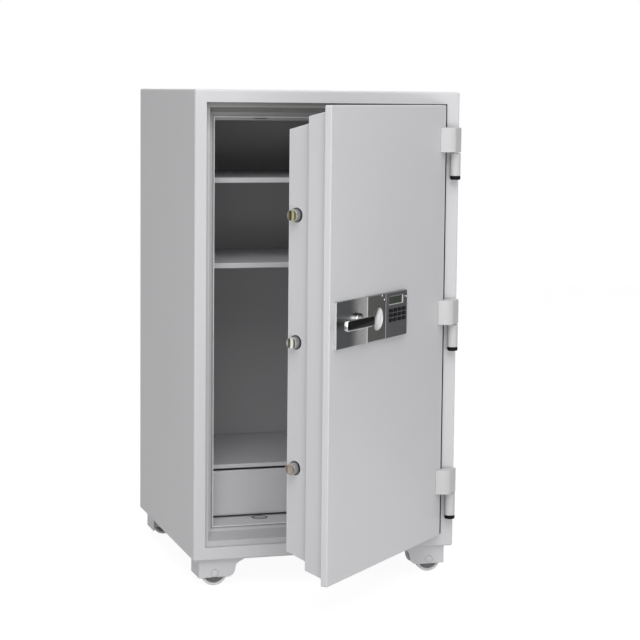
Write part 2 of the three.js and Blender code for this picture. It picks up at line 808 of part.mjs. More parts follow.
function boltBox() {
  const s = stepSheet;
  const outer = stepped(panel, [
    [stepTwoInset, boxFloor],
    [stepTwoInset + stepTwoTaper, boxBack],
  ]);
  const inner = stepped(panel, [
    [stepTwoInset + s, boxFloor + s],
    [stepTwoInset + stepTwoTaper + s, boxBack + 1],
  ]);
  const guides = boltHeights.map((z) =>
    box(guideX, guideX + guideSheet, boxFloor + s / 2, boxBack - guideShort,
      z - guideTall / 2, z + guideTall / 2),
  );
  const boltRods = (radius, x0, x1) => boltHeights.map((z) => rodX(boltY, z, radius, x0, x1));
  const guideHoles = boltRods(boltRadius + fit, guideX - 1, guideX + guideSheet + 1);
  const boltHoles = boltRods(boltHoleRadius, panel.x0 + stepTwoInset, guideX - 2);
  const spindleHole = rodY(lever.x, lever.z, spindleRadius + fit, boxFloor - 1, boxFloor + s + 1);
  const shell = cut(outer, inner, ...boltHoles, spindleHole);
  return piece("bolt_box", paint, cut(join(shell, ...guides), ...guideHoles));
}

function backCover() {
  const inset = stepTwoInset + stepTwoTaper;
  const plate = stepped(panel, [
    [inset, stepTwoBack - coverSheet],
    [inset, stepTwoBack],
  ]);
  return piece("door_back_cover", paint, plate);
}

// Bolt work
const boltEnd = boltTip + boltLength;
const barX = boltEnd + fit;
const camY = stepOneBack + camFromStep;
const armY = camY + camSheet + armBehindCam;
const camArm = boltThrow / 2 / Math.sin(THREE.MathUtils.degToRad(camAngle));
const camPin = {
  x: lever.x - boltThrow / 2,
  z: lever.z - camArm * Math.cos(THREE.MathUtils.degToRad(camAngle)),
};

function bolt(name, z) {
  const r = boltRadius;
  const c = boltChamfer;
  const profile = [
    [0, boltRecessDeep],
    [boltRecess, boltRecessDeep],
    [boltRecess, 0],
    [r - c, 0],
    [r, c],
    [r, boltLength],
    [0, boltLength],
  ];
  return piece(name, steel, turned(profile).rotate([0, 90, 0]).translate([boltTip, boltY, z]));
}

function boltBar() {
  const low = boltHeights[0] - barBeyondBolt;
  const high = boltHeights[2] + barBeyondBolt;
  const y0 = boltY - barWide / 2;
  const y1 = boltY + barWide / 2;
  const armX = camPin.x + camPinRadius + slotPlay + slotRim;
  const armLow = lever.z - camArm - camPinRadius - slotPlay - slotRim;
  const armHigh = camPin.z + camPinRadius + slotPlay + slotRim;
  const web = box(barX, barX + barSheet, y0, y1, low, high);
  const frontFlange = box(barX, barX + barFlange, y0, y0 + barSheet, low, high);
  const rearFlange = box(barX, barX + barFlange, y1 - barSheet, y1, low, high);
  const arm = box(barX + 1, armX, armY, armY + barSheet, armLow, armHigh);
  const bridge = box(barX, barX + barSheet, armY, y0 + 1, armLow, armHigh);
  const slot = drawOut(
    roundedRectangle(
      camPin.x - camPinRadius - slotPlay,
      camPin.x + camPinRadius + slotPlay,
      lever.z - camArm - camPinRadius - slotPlay,
      camPin.z + camPinRadius + slotPlay,
      camPinRadius,
    ),
    armY - 1,
    armY + barSheet + 1,
    { curveSegments: 4 },
  );
  return piece("bolt_bar", steel, cut(join(web, frontFlange, rearFlange, bridge, arm), slot));
}

function boltCam() {
  const hub = rodY(lever.x, lever.z, camHub, camY, camY + camSheet);
  const toe = rodY(camPin.x, camPin.z, camPinRadius + camPinWall, camY, camY + camSheet);
  const plate = Manifold.hull([hub, toe]);
  const pin = rodY(camPin.x, camPin.z, camPinRadius, camY + 1, armY + barSheet + 1);
  const bore = rodY(lever.x, lever.z, spindleRadius + fit, camY - 1, camY + camSheet + 1);
  return piece("bolt_cam", steel, cut(join(plate, pin), bore));
}

// Lock furniture
function leverPlate() {
  const [x0, x1] = [lock.x0, lock.x0 + leverPlateWide];
  const [low, high] = [-leverPlateLow, -leverPlateHigh];
  const r = leverPlateRound;
  const rise = x0 + leverPlateFlat;
  const shape = new THREE.Shape();
  shape.moveTo(x1, -fit);
  shape.lineTo(x0, -fit);
  shape.lineTo(x0, low + r);
  shape.quadraticCurveTo(x0, low, x0 + r, low);
  shape.lineTo(rise, low);
  shape.quadraticCurveTo((rise + x1 - r) / 2, low, x1 - r, high);
  shape.quadraticCurveTo(x1, high, x1, high + r);
  const plate = raise(shape, lock.z0, lock.z1, { curveSegments: 8 });
  const seat = rodY(lever.x, lever.z, roseRadius + fit, high - 1, -roseSeat);
  const hole = rodY(lever.x, lever.z, spindleRadius + fit, -roseSeat - 1, 1);
  return piece("lever_plate", brushed, cut(plate, seat, hole));
}

const dishX = dishPlateX + dishFromLeft;
const dishZ = (lock.z0 + lock.z1) / 2 - dishBelowMiddle;

function dishPlate() {
  const shape = roundedRectangle(dishPlateX, dishPlateX + dishPlateWide, lock.z0, lock.z1, dishPlateCorner);
  const edges = { bevel: dishPlateEdge, bevelSegments: 1, curveSegments: 3 };
  const plate = drawOut(shape, -dishPlateThick, -fit, edges);
  const seatFloor = -dishPlateThick + dishDeep + dishWall + fit;
  const seat = rodY(dishX, dishZ, dishRadius + fit, -dishPlateThick - 1, seatFloor, fine);
  return piece("dish_plate", darkBrushed, cut(plate, seat));
}

// The dish is a spun cup: a hollow of one radius inside a plain rim
function lockDish() {
  const steps = 6;
  const sphere = (dishRadius * dishRadius + dishDeep * dishDeep) / (2 * dishDeep);
  const lip = dishRadius - dishLip;
  const bowl = [];
  for (let i = 0; i <= steps; i++) {
    const r = (lip * i) / steps;
    const drop = Math.sqrt(sphere * sphere - r * r) - Math.sqrt(sphere * sphere - lip * lip);
    bowl.push([r, -drop]);
  }
  const low = -dishDeep - dishWall;
  const r = dishRadius;
  const e = dishEdge;
  const cup = [[0, low], [r - e, low], [r, low + e], [r, -e], [r - e, 0], ...bowl.reverse()];
  const solid = turned(cup, fine);
  return piece("lock_dish", chrome, solid.rotate([90, 0, 0]).translate([dishX, -dishPlateThick, dishZ]));
}

const keypadMiddle = keypadX + keypadWide / 2;
const windowX = keypadMiddle + windowFromMiddle - windowWide / 2;
const windowTop = lock.z1 - windowFromTop;

function keyPlaces() {
  const places = [];
  for (let row = 0; row < keyRows; row++) {
    for (let column = 0; column < keyColumns; column++) {
      places.push({
        name: `key_${row + 1}_${column + 1}`,
        x: keypadMiddle + keysFromMiddle + (column - (keyColumns - 1) / 2) * keyPitchX,
        z: lock.z1 - keyFirstRow - row * keyPitchZ,
      });
    }
  }
  return places;
}

function keypad() {
  const shape = roundedRectangle(keypadX, keypadX + keypadWide, lock.z0, lock.z1, keypadCorner);
  const body = drawOut(shape, -keypadThick, -fit, { bevel: keypadEdge, curveSegments: 3 });
  const sunk = -keypadThick + windowSunk + windowThick + fit;
  const window = box(windowX - fit, windowX + windowWide + fit, -keypadThick - 1, sunk,
    windowTop - windowTall - fit, windowTop + fit);
  const wells = keyPlaces().map(({ x, z }) => {
    const [across, up] = [keyWide / 2 + keyClear, keyTall / 2 + keyClear];
    return box(x - across, x + across, -keypadThick - 1, -keypadFloor, z - up, z + up);
  });
  return piece("keypad_housing", darkBrushed, cut(body, window, ...wells));
}

function displayWindow() {
  const y0 = -keypadThick + windowSunk;
  const pane = box(windowX, windowX + windowWide, y0, y0 + windowThick, windowTop - windowTall, windowTop);
  return piece("display_window", greenWindow, pane);
}

function keypadKey({ name, x, z }) {
  const [across, up] = [keyWide / 2, keyTall / 2];
  const shape = roundedRectangle(x - across, x + across, z - up, z + up, keyCorner);
  const front = -keypadThick - keyProud;
  const cap = drawOut(shape, front, front + keyThick, { bevel: keyEdge, bevelSegments: 1, curveSegments: 1 });
  return piece(name, keyPlastic, cap);
}

// Lever handle
function leverHandle() {
  const front = -leverStandOff - leverThick;
  const z0 = lever.z - leverTall / 2;
  const shape = roundedRectangle(lever.x - leverReach, lever.x + leverHeel, z0, z0 + leverTall, leverRound);
  const bar = drawOut(shape, front, -leverStandOff, { bevel: leverEdge, curveSegments: 4 });
  const bore = rodY(lever.x, lever.z, spindleRadius + fit, front + leverSkin, -leverStandOff + 1);
  return piece("lever_handle", chrome, cut(bar, bore));
}

function leverGrip() {
  const back = -leverStandOff - leverThick - fit;
  const z0 = lever.z - leverTall / 2;
  const shape = roundedRectangle(lever.x - leverReach + gripFromTip, lever.x + leverHeel - gripFromHeel,
    z0 + gripLow, z0 + leverTall, gripRound);
  const grip = drawOut(shape, back - gripThick, back, { bevel: gripEdge, curveSegments: 3 });
  return piece("lever_grip", blackPlastic, grip);
}

// Rose, stem and spindle are one turned piece that carries the cam inside the door
function leverSpindle() {
  const roseBack = roseSeat + fit;
  const tip = leverStandOff + leverThick - leverSkin - fit;
  const profile = [
    [0, -stepOneBack - camFromStep - camSheet],
    [spindleRadius, -stepOneBack - camFromStep - camSheet],
    [spindleRadius, roseBack],
    [roseRadius, roseBack],
    [roseRadius, roseFront - roseEdge],
    [roseRadius - roseEdge, roseFront],
    [stemRadius + stemFlare, roseFront],
    [stemRadius, roseFront + stemFlare],
    [stemRadius, leverStandOff - fit],
    [spindleRadius, leverStandOff - fit],
    [spindleRadius, tip],
    [0, tip],
  ];
  const spindle = turned(profile).rotate([90, 0, 0]).translate([lever.x, 0, lever.z]);
  return piece("lever_spindle", chrome, spindle);
}

// Assembly
function cabinet() {
  const group = new THREE.Group();
  group.add(cabinetCasing(), doorFrame(), cabinetInsulation(), cabinetLiner(), anchorPlug());
  group.add(shelf("upper_shelf", shelfTops.upper_shelf, shelfTall));
  group.add(shelf("middle_shelf", shelfTops.middle_shelf, shelfTall));
  group.add(shelf("drawer_shelf", shelfTops.drawer_shelf, drawerShelfTall));
  group.add(drawerFront(), drawerTray());
  hingeTops.forEach((top, i) => {
    const place = ["upper", "middle", "lower"][i];
    group.add(hingeKnuckle(`hinge_knuckle_${place}`, top));
    group.add(hingePin(`hinge_pin_${place}`, top));
    group.add(hingeCap(`hinge_cap_${place}`, top));
  });
  group.add(casters());
  return group;
}

function door() {
  const shut = new THREE.Group();
  shut.add(doorPanel(), doorStep(), doorInsulation(), boltBox(), backCover());
  hingeTops.forEach((top, i) => shut.add(hingeLeaf(`hinge_leaf_${["upper", "middle", "lower"][i]}`, top)));
  shut.add(boltBar(), boltCam());
  boltHeights.forEach((z, i) => shut.add(bolt(`bolt_${["lower", "middle", "upper"][i]}`, z)));
  shut.add(leverPlate(), dishPlate(), lockDish(), keypad(), displayWindow());
  shut.add(...keyPlaces().map(keypadKey));
  shut.add(leverHandle(), leverGrip(), leverSpindle());
  shut.position.set(-hinge.x, -hinge.y, 0);
  const swung = new THREE.Group();
  swung.add(shut);
  swung.position.set(hinge.x, hinge.y, 0);
  swung.rotation.z = THREE.MathUtils.degToRad(doorAjar);
  return swung;
}

// The origin is the middle of the base of the box round everything
const safe = new THREE.Group();
safe.add(cabinet(), door());
safe.updateMatrixWorld(true);
const bounds = new THREE.Box3().setFromObject(safe, true);
const centre = bounds.getCenter(new THREE.Vector3());
safe.children.forEach((child) => child.position.sub(new THREE.Vector3(centre.x, centre.y, bounds.min.z)));
safe.updateMatrixWorld(true);

export default safe;
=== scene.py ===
import json
import logging
import math
from dataclasses import dataclass
from enum import Enum, IntEnum
from functools import partial
from typing import Any, Callable, Iterable, Sequence

import bmesh
import bpy
from mathutils import Matrix, Vector
from mathutils.geometry import interpolate_bezier


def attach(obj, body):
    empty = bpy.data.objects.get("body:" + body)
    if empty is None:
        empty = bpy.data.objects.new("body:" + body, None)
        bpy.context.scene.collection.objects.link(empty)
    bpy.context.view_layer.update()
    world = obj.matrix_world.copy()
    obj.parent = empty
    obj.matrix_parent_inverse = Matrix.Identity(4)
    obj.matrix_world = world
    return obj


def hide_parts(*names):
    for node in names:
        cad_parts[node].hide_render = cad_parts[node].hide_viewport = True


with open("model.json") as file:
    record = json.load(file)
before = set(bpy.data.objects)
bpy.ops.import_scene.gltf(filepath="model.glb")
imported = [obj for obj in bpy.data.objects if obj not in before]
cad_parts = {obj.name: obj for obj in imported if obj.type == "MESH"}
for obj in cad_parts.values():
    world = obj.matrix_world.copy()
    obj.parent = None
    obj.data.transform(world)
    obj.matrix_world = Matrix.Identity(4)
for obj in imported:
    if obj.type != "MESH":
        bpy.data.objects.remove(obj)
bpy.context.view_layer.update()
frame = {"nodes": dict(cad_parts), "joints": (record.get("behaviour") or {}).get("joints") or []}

# Looks of a tall fireproof data safe with its door ajar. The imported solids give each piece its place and
# size. The sheet work is copied from them with its edges softened, and the turned, drawn and moulded pieces
# are made anew.

log = logging.getLogger("safe")

MM = 0.001
DOOR_AJAR = math.radians(45)
# What the solids leave between pieces that sit on one another.
GAP = 0.3 * MM

# How far apart points may be that are joined in a copied or a turned piece, or that count as level or near.
WELD = 0.01 * MM
SEAM = 0.0005 * MM
LEVEL = 0.001 * MM
NEAR = 0.1 * MM
# Folds of less than this are joined in a copied solid, and folds of more than this look sharp in the end.
FLAT = math.radians(0.6)
CREASE = math.radians(38)
# Least part of a face's normal along an axis for the face to count as square to it.
SQUARE = 0.99

# Middle of a noise, round which it makes a surface rougher and smoother.
NOISE_MIDDLE = 0.5
# Share over which a gradient finish fades in at the edges of its metal.
RIM_BLUR = 0.008
# Stretches that draw a pattern out along the door, or round the bolts.
LONG_LINES = (0.018, 1.0, 1.0)
LONG_MARKS = (0.03, 1.0, 1.0)
LATHE_RINGS = (1.0, 0.01, 0.01)

# Turns that take the upright axis to the right, to the front and to the back.
TO_RIGHT = Matrix.Rotation(math.pi / 2, 4, "Y")
TO_FRONT = Matrix.Rotation(math.pi / 2, 4, "X")
TO_BACK = Matrix.Rotation(-math.pi / 2, 4, "X")

Colour = tuple[float, float, float]
Point = tuple[float, float]
Settings = dict[Any, Any]

WHITE = (1.0, 1.0, 1.0)


class Body(str, Enum):
    """The rigid bodies that pieces ride on."""

    CABINET = "cabinet"
    DOOR = "door"
    LEVER = "lever"
    BOLTS = "bolt_work"
    DRAWER = "drawer"


class Slot(str, Enum):
    """The record's material slots."""

    BODY_PAINT = "body_paint"
    INNER_PAINT = "inner_paint"
    SHELF_PAINT = "shelf_paint"
    BRIGHT_STEEL = "bright_steel"
    BRUSHED = "brushed_plate"
    DARK_BRUSHED = "dark_brushed_plate"
    CHROME = "chrome"
    BLACK_PLASTIC = "black_plastic"
    KEY_PLASTIC = "key_plastic"
    DISPLAY = "display"
    WHEEL = "wheel_metal"


class Corner(str, Enum):
    """The corners that the casters stand at."""

    FRONT_LEFT = "front_left"
    FRONT_RIGHT = "front_right"
    REAR_LEFT = "rear_left"
    REAR_RIGHT = "rear_right"

    @property
    def at_front(self) -> bool:
        """Whether the caster stands at the front."""
        return self in (Corner.FRONT_LEFT, Corner.FRONT_RIGHT)


class Height(str, Enum):
    """The heights that hinges and bolts come at."""

    UPPER = "upper"
    MIDDLE = "middle"
    LOWER = "lower"


class Axis(IntEnum):
    """The axes that picked edges run along."""

    DEPTH = 1
    UPRIGHT = 2


@dataclass(frozen=True)
class Span:
    """A box with its sides along the axes of its place."""

    low: Vector
    high: Vector

    @property
    def middle(self) -> Vector:
        """The middle of the box."""
        return (self.low + self.high) / 2

    @property
    def size(self) -> Vector:
        """The lengths of the box's sides."""
        return self.high - self.low


class Place:
    """Axes that pieces are drawn in before they are carried to their place in the frame."""

    def __init__(self, matrix: Matrix) -> None:
        """Keeps the matrix that carries a point drawn in these axes to the frame."""
        self.matrix = matrix
        self.back = matrix.inverted()

    def box(self, node: str) -> Span:
        """Measures a solid along these axes.

        Args:
            node: The solid's name.

        Returns:
            The box round it.
        """
        points = [self.back @ v.co for v in frame["nodes"][node].data.vertices]
        low = Vector(min(p[axis] for p in points) for axis in range(3))
        high = Vector(max(p[axis] for p in points) for axis in range(3))
        return Span(low, high)

    @classmethod
    def swung(cls, joint: str, angle: float) -> "Place":
        """Makes the axes of a leaf that stands open.

        Args:
            joint: Name of the upright hinge that the leaf turns on.
            angle: How far it stands open, in radians.

        Returns:
            Axes in which the leaf is shut.
        """
        hinge = next(j for j in frame["joints"] if j["name"] == joint)
        pin = Matrix.Translation(Vector(hinge["pos_m"]))
        return cls(pin @ Matrix.Rotation(angle, 4, "Z") @ pin.inverted())


ROOM = Place(Matrix.Identity(4))
DOOR = Place.swung("door_hinge", DOOR_AJAR)


class Signal:
    """A shader socket that can be used in a sum."""

    def __init__(self, graph: "Graph", socket: bpy.types.NodeSocket) -> None:
        """Wraps a socket of a graph."""
        self.graph = graph
        self.socket = socket

    def _sum(self, operation: str, first: Any, second: Any) -> "Signal":
        """Gives the result of a Math node with two values."""
        return self.graph.signal("ShaderNodeMath", {"operation": operation}, {0: first, 1: second})

    def __add__(self, other: Any) -> "Signal":
        """self + other."""
        return self._sum("ADD", self, other)

    def __radd__(self, other: Any) -> "Signal":
        """other + self."""
        return self._sum("ADD", other, self)

    def __sub__(self, other: Any) -> "Signal":
        """self - other."""
        return self._sum("SUBTRACT", self, other)

    def __mul__(self, other: Any) -> "Signal":
        """self * other."""
        return self._sum("MULTIPLY", self, other)

    def __rmul__(self, other: Any) -> "Signal":
        """other * self."""
        return self._sum("MULTIPLY", other, self)

    def at_most(self, other: Any) -> "Signal":
        """The smaller of two values."""
        return self._sum("MINIMUM", self, other)

    def at_least(self, other: Any) -> "Signal":
        """The larger of two values."""
        return self._sum("MAXIMUM", self, other)

    def over(self, other: "Signal", share: float) -> "Signal":
        """A share of this signal and the rest of another."""
        return share * self + (1 - share) * other


class Graph:
    """The nodes of one material or of the world."""

    def __init__(self, tree: bpy.types.NodeTree, output: str = "ShaderNodeOutputMaterial") -> None:
        """Empties a tree and gives it an output.

        Args:
            tree: The tree to fill.
            output: Type of its output node.
        """
        self.tree = tree
        tree.nodes.clear()
        self.output = tree.nodes.new(output)

    def node(self, kind: str, settings: Settings | None = None, inputs: Settings | None = None
             ) -> bpy.types.Node:
        """Adds a node.

        Args:
            kind: The node's type.
            settings: Its settings, set before its sockets; a ramp's stops go under "stops".
            inputs: Values or signals for its sockets, by name or number.

        Returns:
            The node.
        """
        made = self.tree.nodes.new(kind)
        for key, value in (settings or {}).items():
            if key == "stops":
                self._set_stops(made.color_ramp, value)
            else:
                setattr(made, key, value)
        for key, value in (inputs or {}).items():
            self.feed(made.inputs[key], value)
        return made

    def signal(self, kind: str, settings: Settings | None = None, inputs: Settings | None = None,
               output: int | str = 0) -> Signal:
        """Adds a node and gives one of its outputs."""
        return Signal(self, self.node(kind, settings, inputs).outputs[output])

    @staticmethod
    def _set_stops(ramp: bpy.types.ColorRamp, stops: Sequence[Point]) -> None:
        """Sets a ramp's stops.

        Args:
            ramp: The ramp.
            stops: Position and grey of each stop.
        """
        while len(ramp.elements) < len(stops):
            ramp.elements.new(1.0)
        for element, (position, grey) in zip(ramp.elements, stops):
            element.position = position
            element.color = (grey, grey, grey, 1.0)

    def feed(self, socket: bpy.types.NodeSocket, value: Any) -> None:
        """Links a signal to a socket or sets the socket's own value.

        Args:
            socket: The socket.
            value: A signal, a number, a vector or a colour.
        """
        if isinstance(value, Signal):
            self.tree.links.new(value.socket, socket)
        elif isinstance(value, tuple) and socket.type == "RGBA":
            socket.default_value = (*value, 1.0)
        else:
            socket.default_value = value

    def show(self, shader: bpy.types.Node) -> None:
        """Links a shader to the output."""
        self.tree.links.new(shader.outputs[0], self.output.inputs["Surface"])

    def coordinates(self, turn: float = 0.0, stretch: tuple[float, float, float] = (1.0, 1.0, 1.0)) -> Signal:
        """Object coordinates, turned about the upright axis and stretched.

        Args:
            turn: Angle to turn the pattern by, in radians.
            stretch: Factors along the three axes.

        Returns:
            The coordinates.
        """
        source = self.signal("ShaderNodeTexCoord", output="Object")
        seat = {"Vector": source, "Rotation": (0.0, 0.0, -turn)}
        turned = self.signal("ShaderNodeMapping", {"vector_type": "POINT"}, seat)
        size = {"Vector": turned, "Scale": stretch}
        return self.signal("ShaderNodeMapping", {"vector_type": "POINT"}, size)

    def noise(self, where: Signal, scale: float, detail: float = 3.0, roughness: float = 0.5) -> Signal:
        """A noise between 0 and 1.

        Args:
            where: The coordinates to read.
            scale: Lumps to a metre.
            detail: Octaves of finer noise.
            roughness: How much the finer noise counts.

        Returns:
            The noise.
        """
        inputs = {"Vector": where, "Scale": scale, "Detail": detail, "Roughness": roughness}
        return self.signal("ShaderNodeTexNoise", {}, inputs)

    def ramp(self, value: Signal, *stops: Point) -> Signal:
        """Passes a value through a ramp of grey stops."""
        return self.signal("ShaderNodeValToRGB", {"stops": stops}, {"Fac": value}, "Color")

    def contrast(self, value: Signal, margin: float) -> Signal:
        """Cuts a margin off both ends of a value's range and stretches the rest to 0 and 1."""
        return self.ramp(value, (margin, 0.0), (1 - margin, 1.0))

    def blend(self, share: Signal, first: Colour, second: Colour) -> Signal:
        """Mixes two colours.

        Args:
            share: How much of the second colour shows.
            first: One colour.
            second: The other colour.

        Returns:
            The mixed colour.
        """
        made = self.node("ShaderNodeMix", {"data_type": "RGBA"}, {"Factor": share})
        sides = [s for s in made.inputs if s.type == "RGBA"]
        for side, colour in zip(sides, (first, second)):
            self.feed(side, colour)
        return Signal(self, next(s for s in made.outputs if s.type == "RGBA"))

    def shades(self, share: Signal, colour: Colour, factors: tuple[float, float]) -> Signal:
        """Mixes two shades of one colour.

        Args:
            share: How much of the second shade shows.
            colour: The colour.
            factors: What the two shades multiply it by.

        Returns:
            The mixed shade.
        """
        first, second = (tuple(channel * factor for channel in colour) for factor in factors)
        return self.blend(share, first, second)

    def bump(self, height: Signal, strength: float, distance: float) -> Signal:
        """Turns a height into a normal.

        Args:
            height: The height, between 0 and 1.
            strength: How strongly it shows.
            distance: Its depth in metres.

        Returns:
            The normal.
        """
        inputs = {"Height": height, "Strength": strength, "Distance": distance}
        return self.signal("ShaderNodeBump", {}, inputs)

    def seen(self) -> Signal:
        """Is 1 for rays that show a surface itself: straight, mirrored or through glass.

        Returns:
            The signal.
        """
        path = self.node("ShaderNodeLightPath")
        rays = [Signal(self, path.outputs[f"Is {kind} Ray"]) for kind in ("Camera", "Glossy", "Transmission")]
        return rays[0].at_least(rays[1]).at_least(rays[2])

    def surface(self, **inputs: Any) -> None:
        """Adds the main shader and links it to the output.

        Args:
            inputs: Values or signals for its sockets, with underscores for spaces.
        """
        named = {key.replace("_", " "): value for key, value in inputs.items()}
        self.show(self.node("ShaderNodeBsdfPrincipled", {}, named))


@dataclass(frozen=True)
class Finish:
    """A surface finish, made into a material once."""

    name: str

    def material(self) -> bpy.types.Material:
        """Gives the finish's material, and makes it the first time.

        Returns:
            The material.
        """
        made = bpy.data.materials.get(self.name)
        if made is None:
            made = bpy.data.materials.new(self.name)
            made.use_nodes = True
            self.fill(Graph(made.node_tree))
        return made

    def fill(self, graph: Graph) -> None:
        """Fills the graph of the finish's material."""
        raise NotImplementedError


@dataclass(frozen=True)
class Grained(Finish):
    """A surface with a fine grain and slow stains, which both change its tone and its gloss.

    The grain is the size of a grain in metres, and the stain is how many stains come to a metre. The share is
    how much of the tone the grain makes, and the margin is cut off both ends of that tone. Where a swell is
    given, the relief has lumps as well that are so many grains wide.
    """

    colour: Colour
    roughness: float
    grain: float = 0.0006
    relief: float = 0.15
    shine: float = 0.5
    depth: float = 0.0001
    turn: float = 0.0
    stretch: tuple[float, float, float] = (1.0, 1.0, 1.0)
    grain_octaves: float = 2.0
    grain_rough: float = 0.5
    grain_spread: float = 0.0
    stain: float = 35.0
    stain_octaves: float = 3.0
    stain_spread: float = 0.0
    share: float = 0.0
    margin: float = 0.0
    shades: tuple[float, float] = (0.85, 1.2)
    swell: float = 0.0
    swell_share: float = 0.7
    metal: float = 0.0

    def fill(self, graph: Graph) -> None:
        """Fills the graph of the surface.

        Args:
            graph: The graph.
        """
        where = graph.coordinates(self.turn, self.stretch)
        grain = graph.noise(where, 1 / self.grain, self.grain_octaves, self.grain_rough)
        stain = graph.noise(graph.coordinates(), self.stain, self.stain_octaves)
        tone = graph.contrast(grain.over(stain, self.share), self.margin)
        height = grain
        if self.swell:
            swell = graph.noise(where, 1 / (self.swell * self.grain), self.grain_octaves)
            height = swell.over(grain, self.swell_share)
        graph.surface(
            Base_Color=graph.shades(tone, self.colour, self.shades),
            Metallic=self.metal,
            Roughness=self.gloss(grain, stain),
            Normal=graph.bump(height, self.relief, self.depth),
            Specular_IOR_Level=self.shine,
        )

    def gloss(self, grain: Signal, stain: Signal) -> Signal:
        """Gives the roughness from the two noises."""
        rough = self.roughness + self.grain_spread * (grain - NOISE_MIDDLE)
        return rough + self.stain_spread * (stain - NOISE_MIDDLE)


@dataclass(frozen=True)
class Paint(Grained):
    """Baked powder paint: a faint orange peel, a fine grain and slow changes of tone."""

    roughness: float = 0.42
    grain: float = 0.00055
    relief: float = 0.10
    shine: float = 0.42
    depth: float = 0.0004
    grain_spread: float = 0.10
    stain: float = 2.2
    share: float = 0.25
    margin: float = 0.3
    shades: tuple[float, float] = (0.975, 1.02)
    swell: float = 4.0


@dataclass(frozen=True)
class Brushed(Grained):
    """Satin metal with fine lines brushed along the door."""

    grain: float = 0.0007
    relief: float = 0.04
    turn: float = DOOR_AJAR
    stretch: tuple[float, float, float] = LONG_LINES
    grain_octaves: float = 3.0
    grain_rough: float = 0.65
    grain_spread: float = 0.08
    stain: float = 22.0
    stain_spread: float = 0.04
    share: float = 0.7
    margin: float = 0.32
    shades: tuple[float, float] = (0.92, 1.06)
    metal: float = 1.0


@dataclass(frozen=True)
class Polished(Grained):
    """Bright plating with faint wiping marks, which are duller where the haze is."""

    grain: float = 1 / 90
    relief: float = 0.02
    grain_octaves: float = 4.0
    grain_rough: float = 0.6
    grain_spread: float = 0.07
    stain: float = 14.0
    stain_octaves: float = 2.0
    shades: tuple[float, float] = (0.94, 1.04)
    metal: float = 1.0

    def gloss(self, grain: Signal, stain: Signal) -> Signal:
        """Gives the roughness from the two noises."""
        return self.roughness + self.grain_spread * grain * stain


@dataclass(frozen=True)
class Turned(Grained):
    """Plated steel with the fine rings that a lathe leaves along its axis."""

    grain: float = 1 / 2400
    relief: float = 0.10
    turn: float = DOOR_AJAR
    stretch: tuple[float, float, float] = LATHE_RINGS
    stain: float = 70.0
    stain_spread: float = 0.15
    share: float = 0.5
    margin: float = 0.3
    shades: tuple[float, float] = (0.82, 1.12)
    metal: float = 1.0


@dataclass(frozen=True)
class Moulded(Grained):
    """Moulded plastic or rubber with a fine grain."""

    depth: float = 0.0002
    grain_spread: float = 0.12
    stain_octaves: float = 2.0
    stain_spread: float = 0.08


@dataclass(frozen=True)
class Filling(Grained):
    """Cast mineral filling: pale, rough and speckled."""

    roughness: float = 0.9
    grain: float = 1 / 260
    relief: float = 0.5
    depth: float = 0.001
    grain_octaves: float = 5.0
    grain_rough: float = 0.7
    grain_spread: float = 0.08
    share: float = 1.0
    shades: tuple[float, float] = (0.8, 1.1)


@dataclass(frozen=True)
class PaintedLight(Finish):
    """Painted light: a colour that follows one direction, painting in reflections, highlights and shade.

    The tone is a share between 0 and 1, which the stops turn into a mix of the two colours. The slope is
    what the share gains to a metre along the door, out of it and up, and level is the share at the middle
    of the node. Where rims are given, the piece is metal only between those two shares.
    """

    dark: Colour
    bright: Colour
    node: str
    slope: tuple[float, float, float]
    stops: tuple[Point, ...]
    level: float = 0.5
    roughness: float = 0.2
    metal: float = 0.4
    shine: float = 0.5
    rims: tuple[float, float] | None = None
    mark: float = 1500.0
    mark_tone: float = 0.012
    spread: float = 0.10
    relief: float = 0.02
    depth: float = 0.0001

    def fill(self, graph: Graph) -> None:
        """Fills the graph of the gradient.

        Args:
            graph: The graph.
        """
        to_door = Matrix.Rotation(-DOOR_AJAR, 4, "Z")
        middle = to_door @ DOOR.matrix @ DOOR.box(self.node).middle
        slope = Vector((self.slope[0], -self.slope[1], self.slope[2]))
        where = {0: graph.coordinates(DOOR_AJAR), 1: tuple(slope)}
        gained = graph.signal("ShaderNodeVectorMath", {"operation": "DOT_PRODUCT"}, where, "Value")
        marks = graph.noise(graph.coordinates(DOOR_AJAR, LONG_MARKS), self.mark)
        share = gained + (self.level - middle.dot(slope))
        tone = graph.ramp(share + self.mark_tone * (marks - NOISE_MIDDLE), *self.stops)
        metal = self.metal
        if self.rims:
            left, right = self.rims
            metal = graph.ramp(share, (left, 0.0), (left + RIM_BLUR, self.metal),
                               (right - RIM_BLUR, self.metal), (right, 0.0))
        graph.surface(
            Base_Color=graph.blend(tone, self.dark, self.bright),
            Metallic=metal,
            Roughness=self.roughness + self.spread * (marks - NOISE_MIDDLE),
            Normal=graph.bump(marks, self.relief, self.depth),
            Specular_IOR_Level=self.shine,
        )


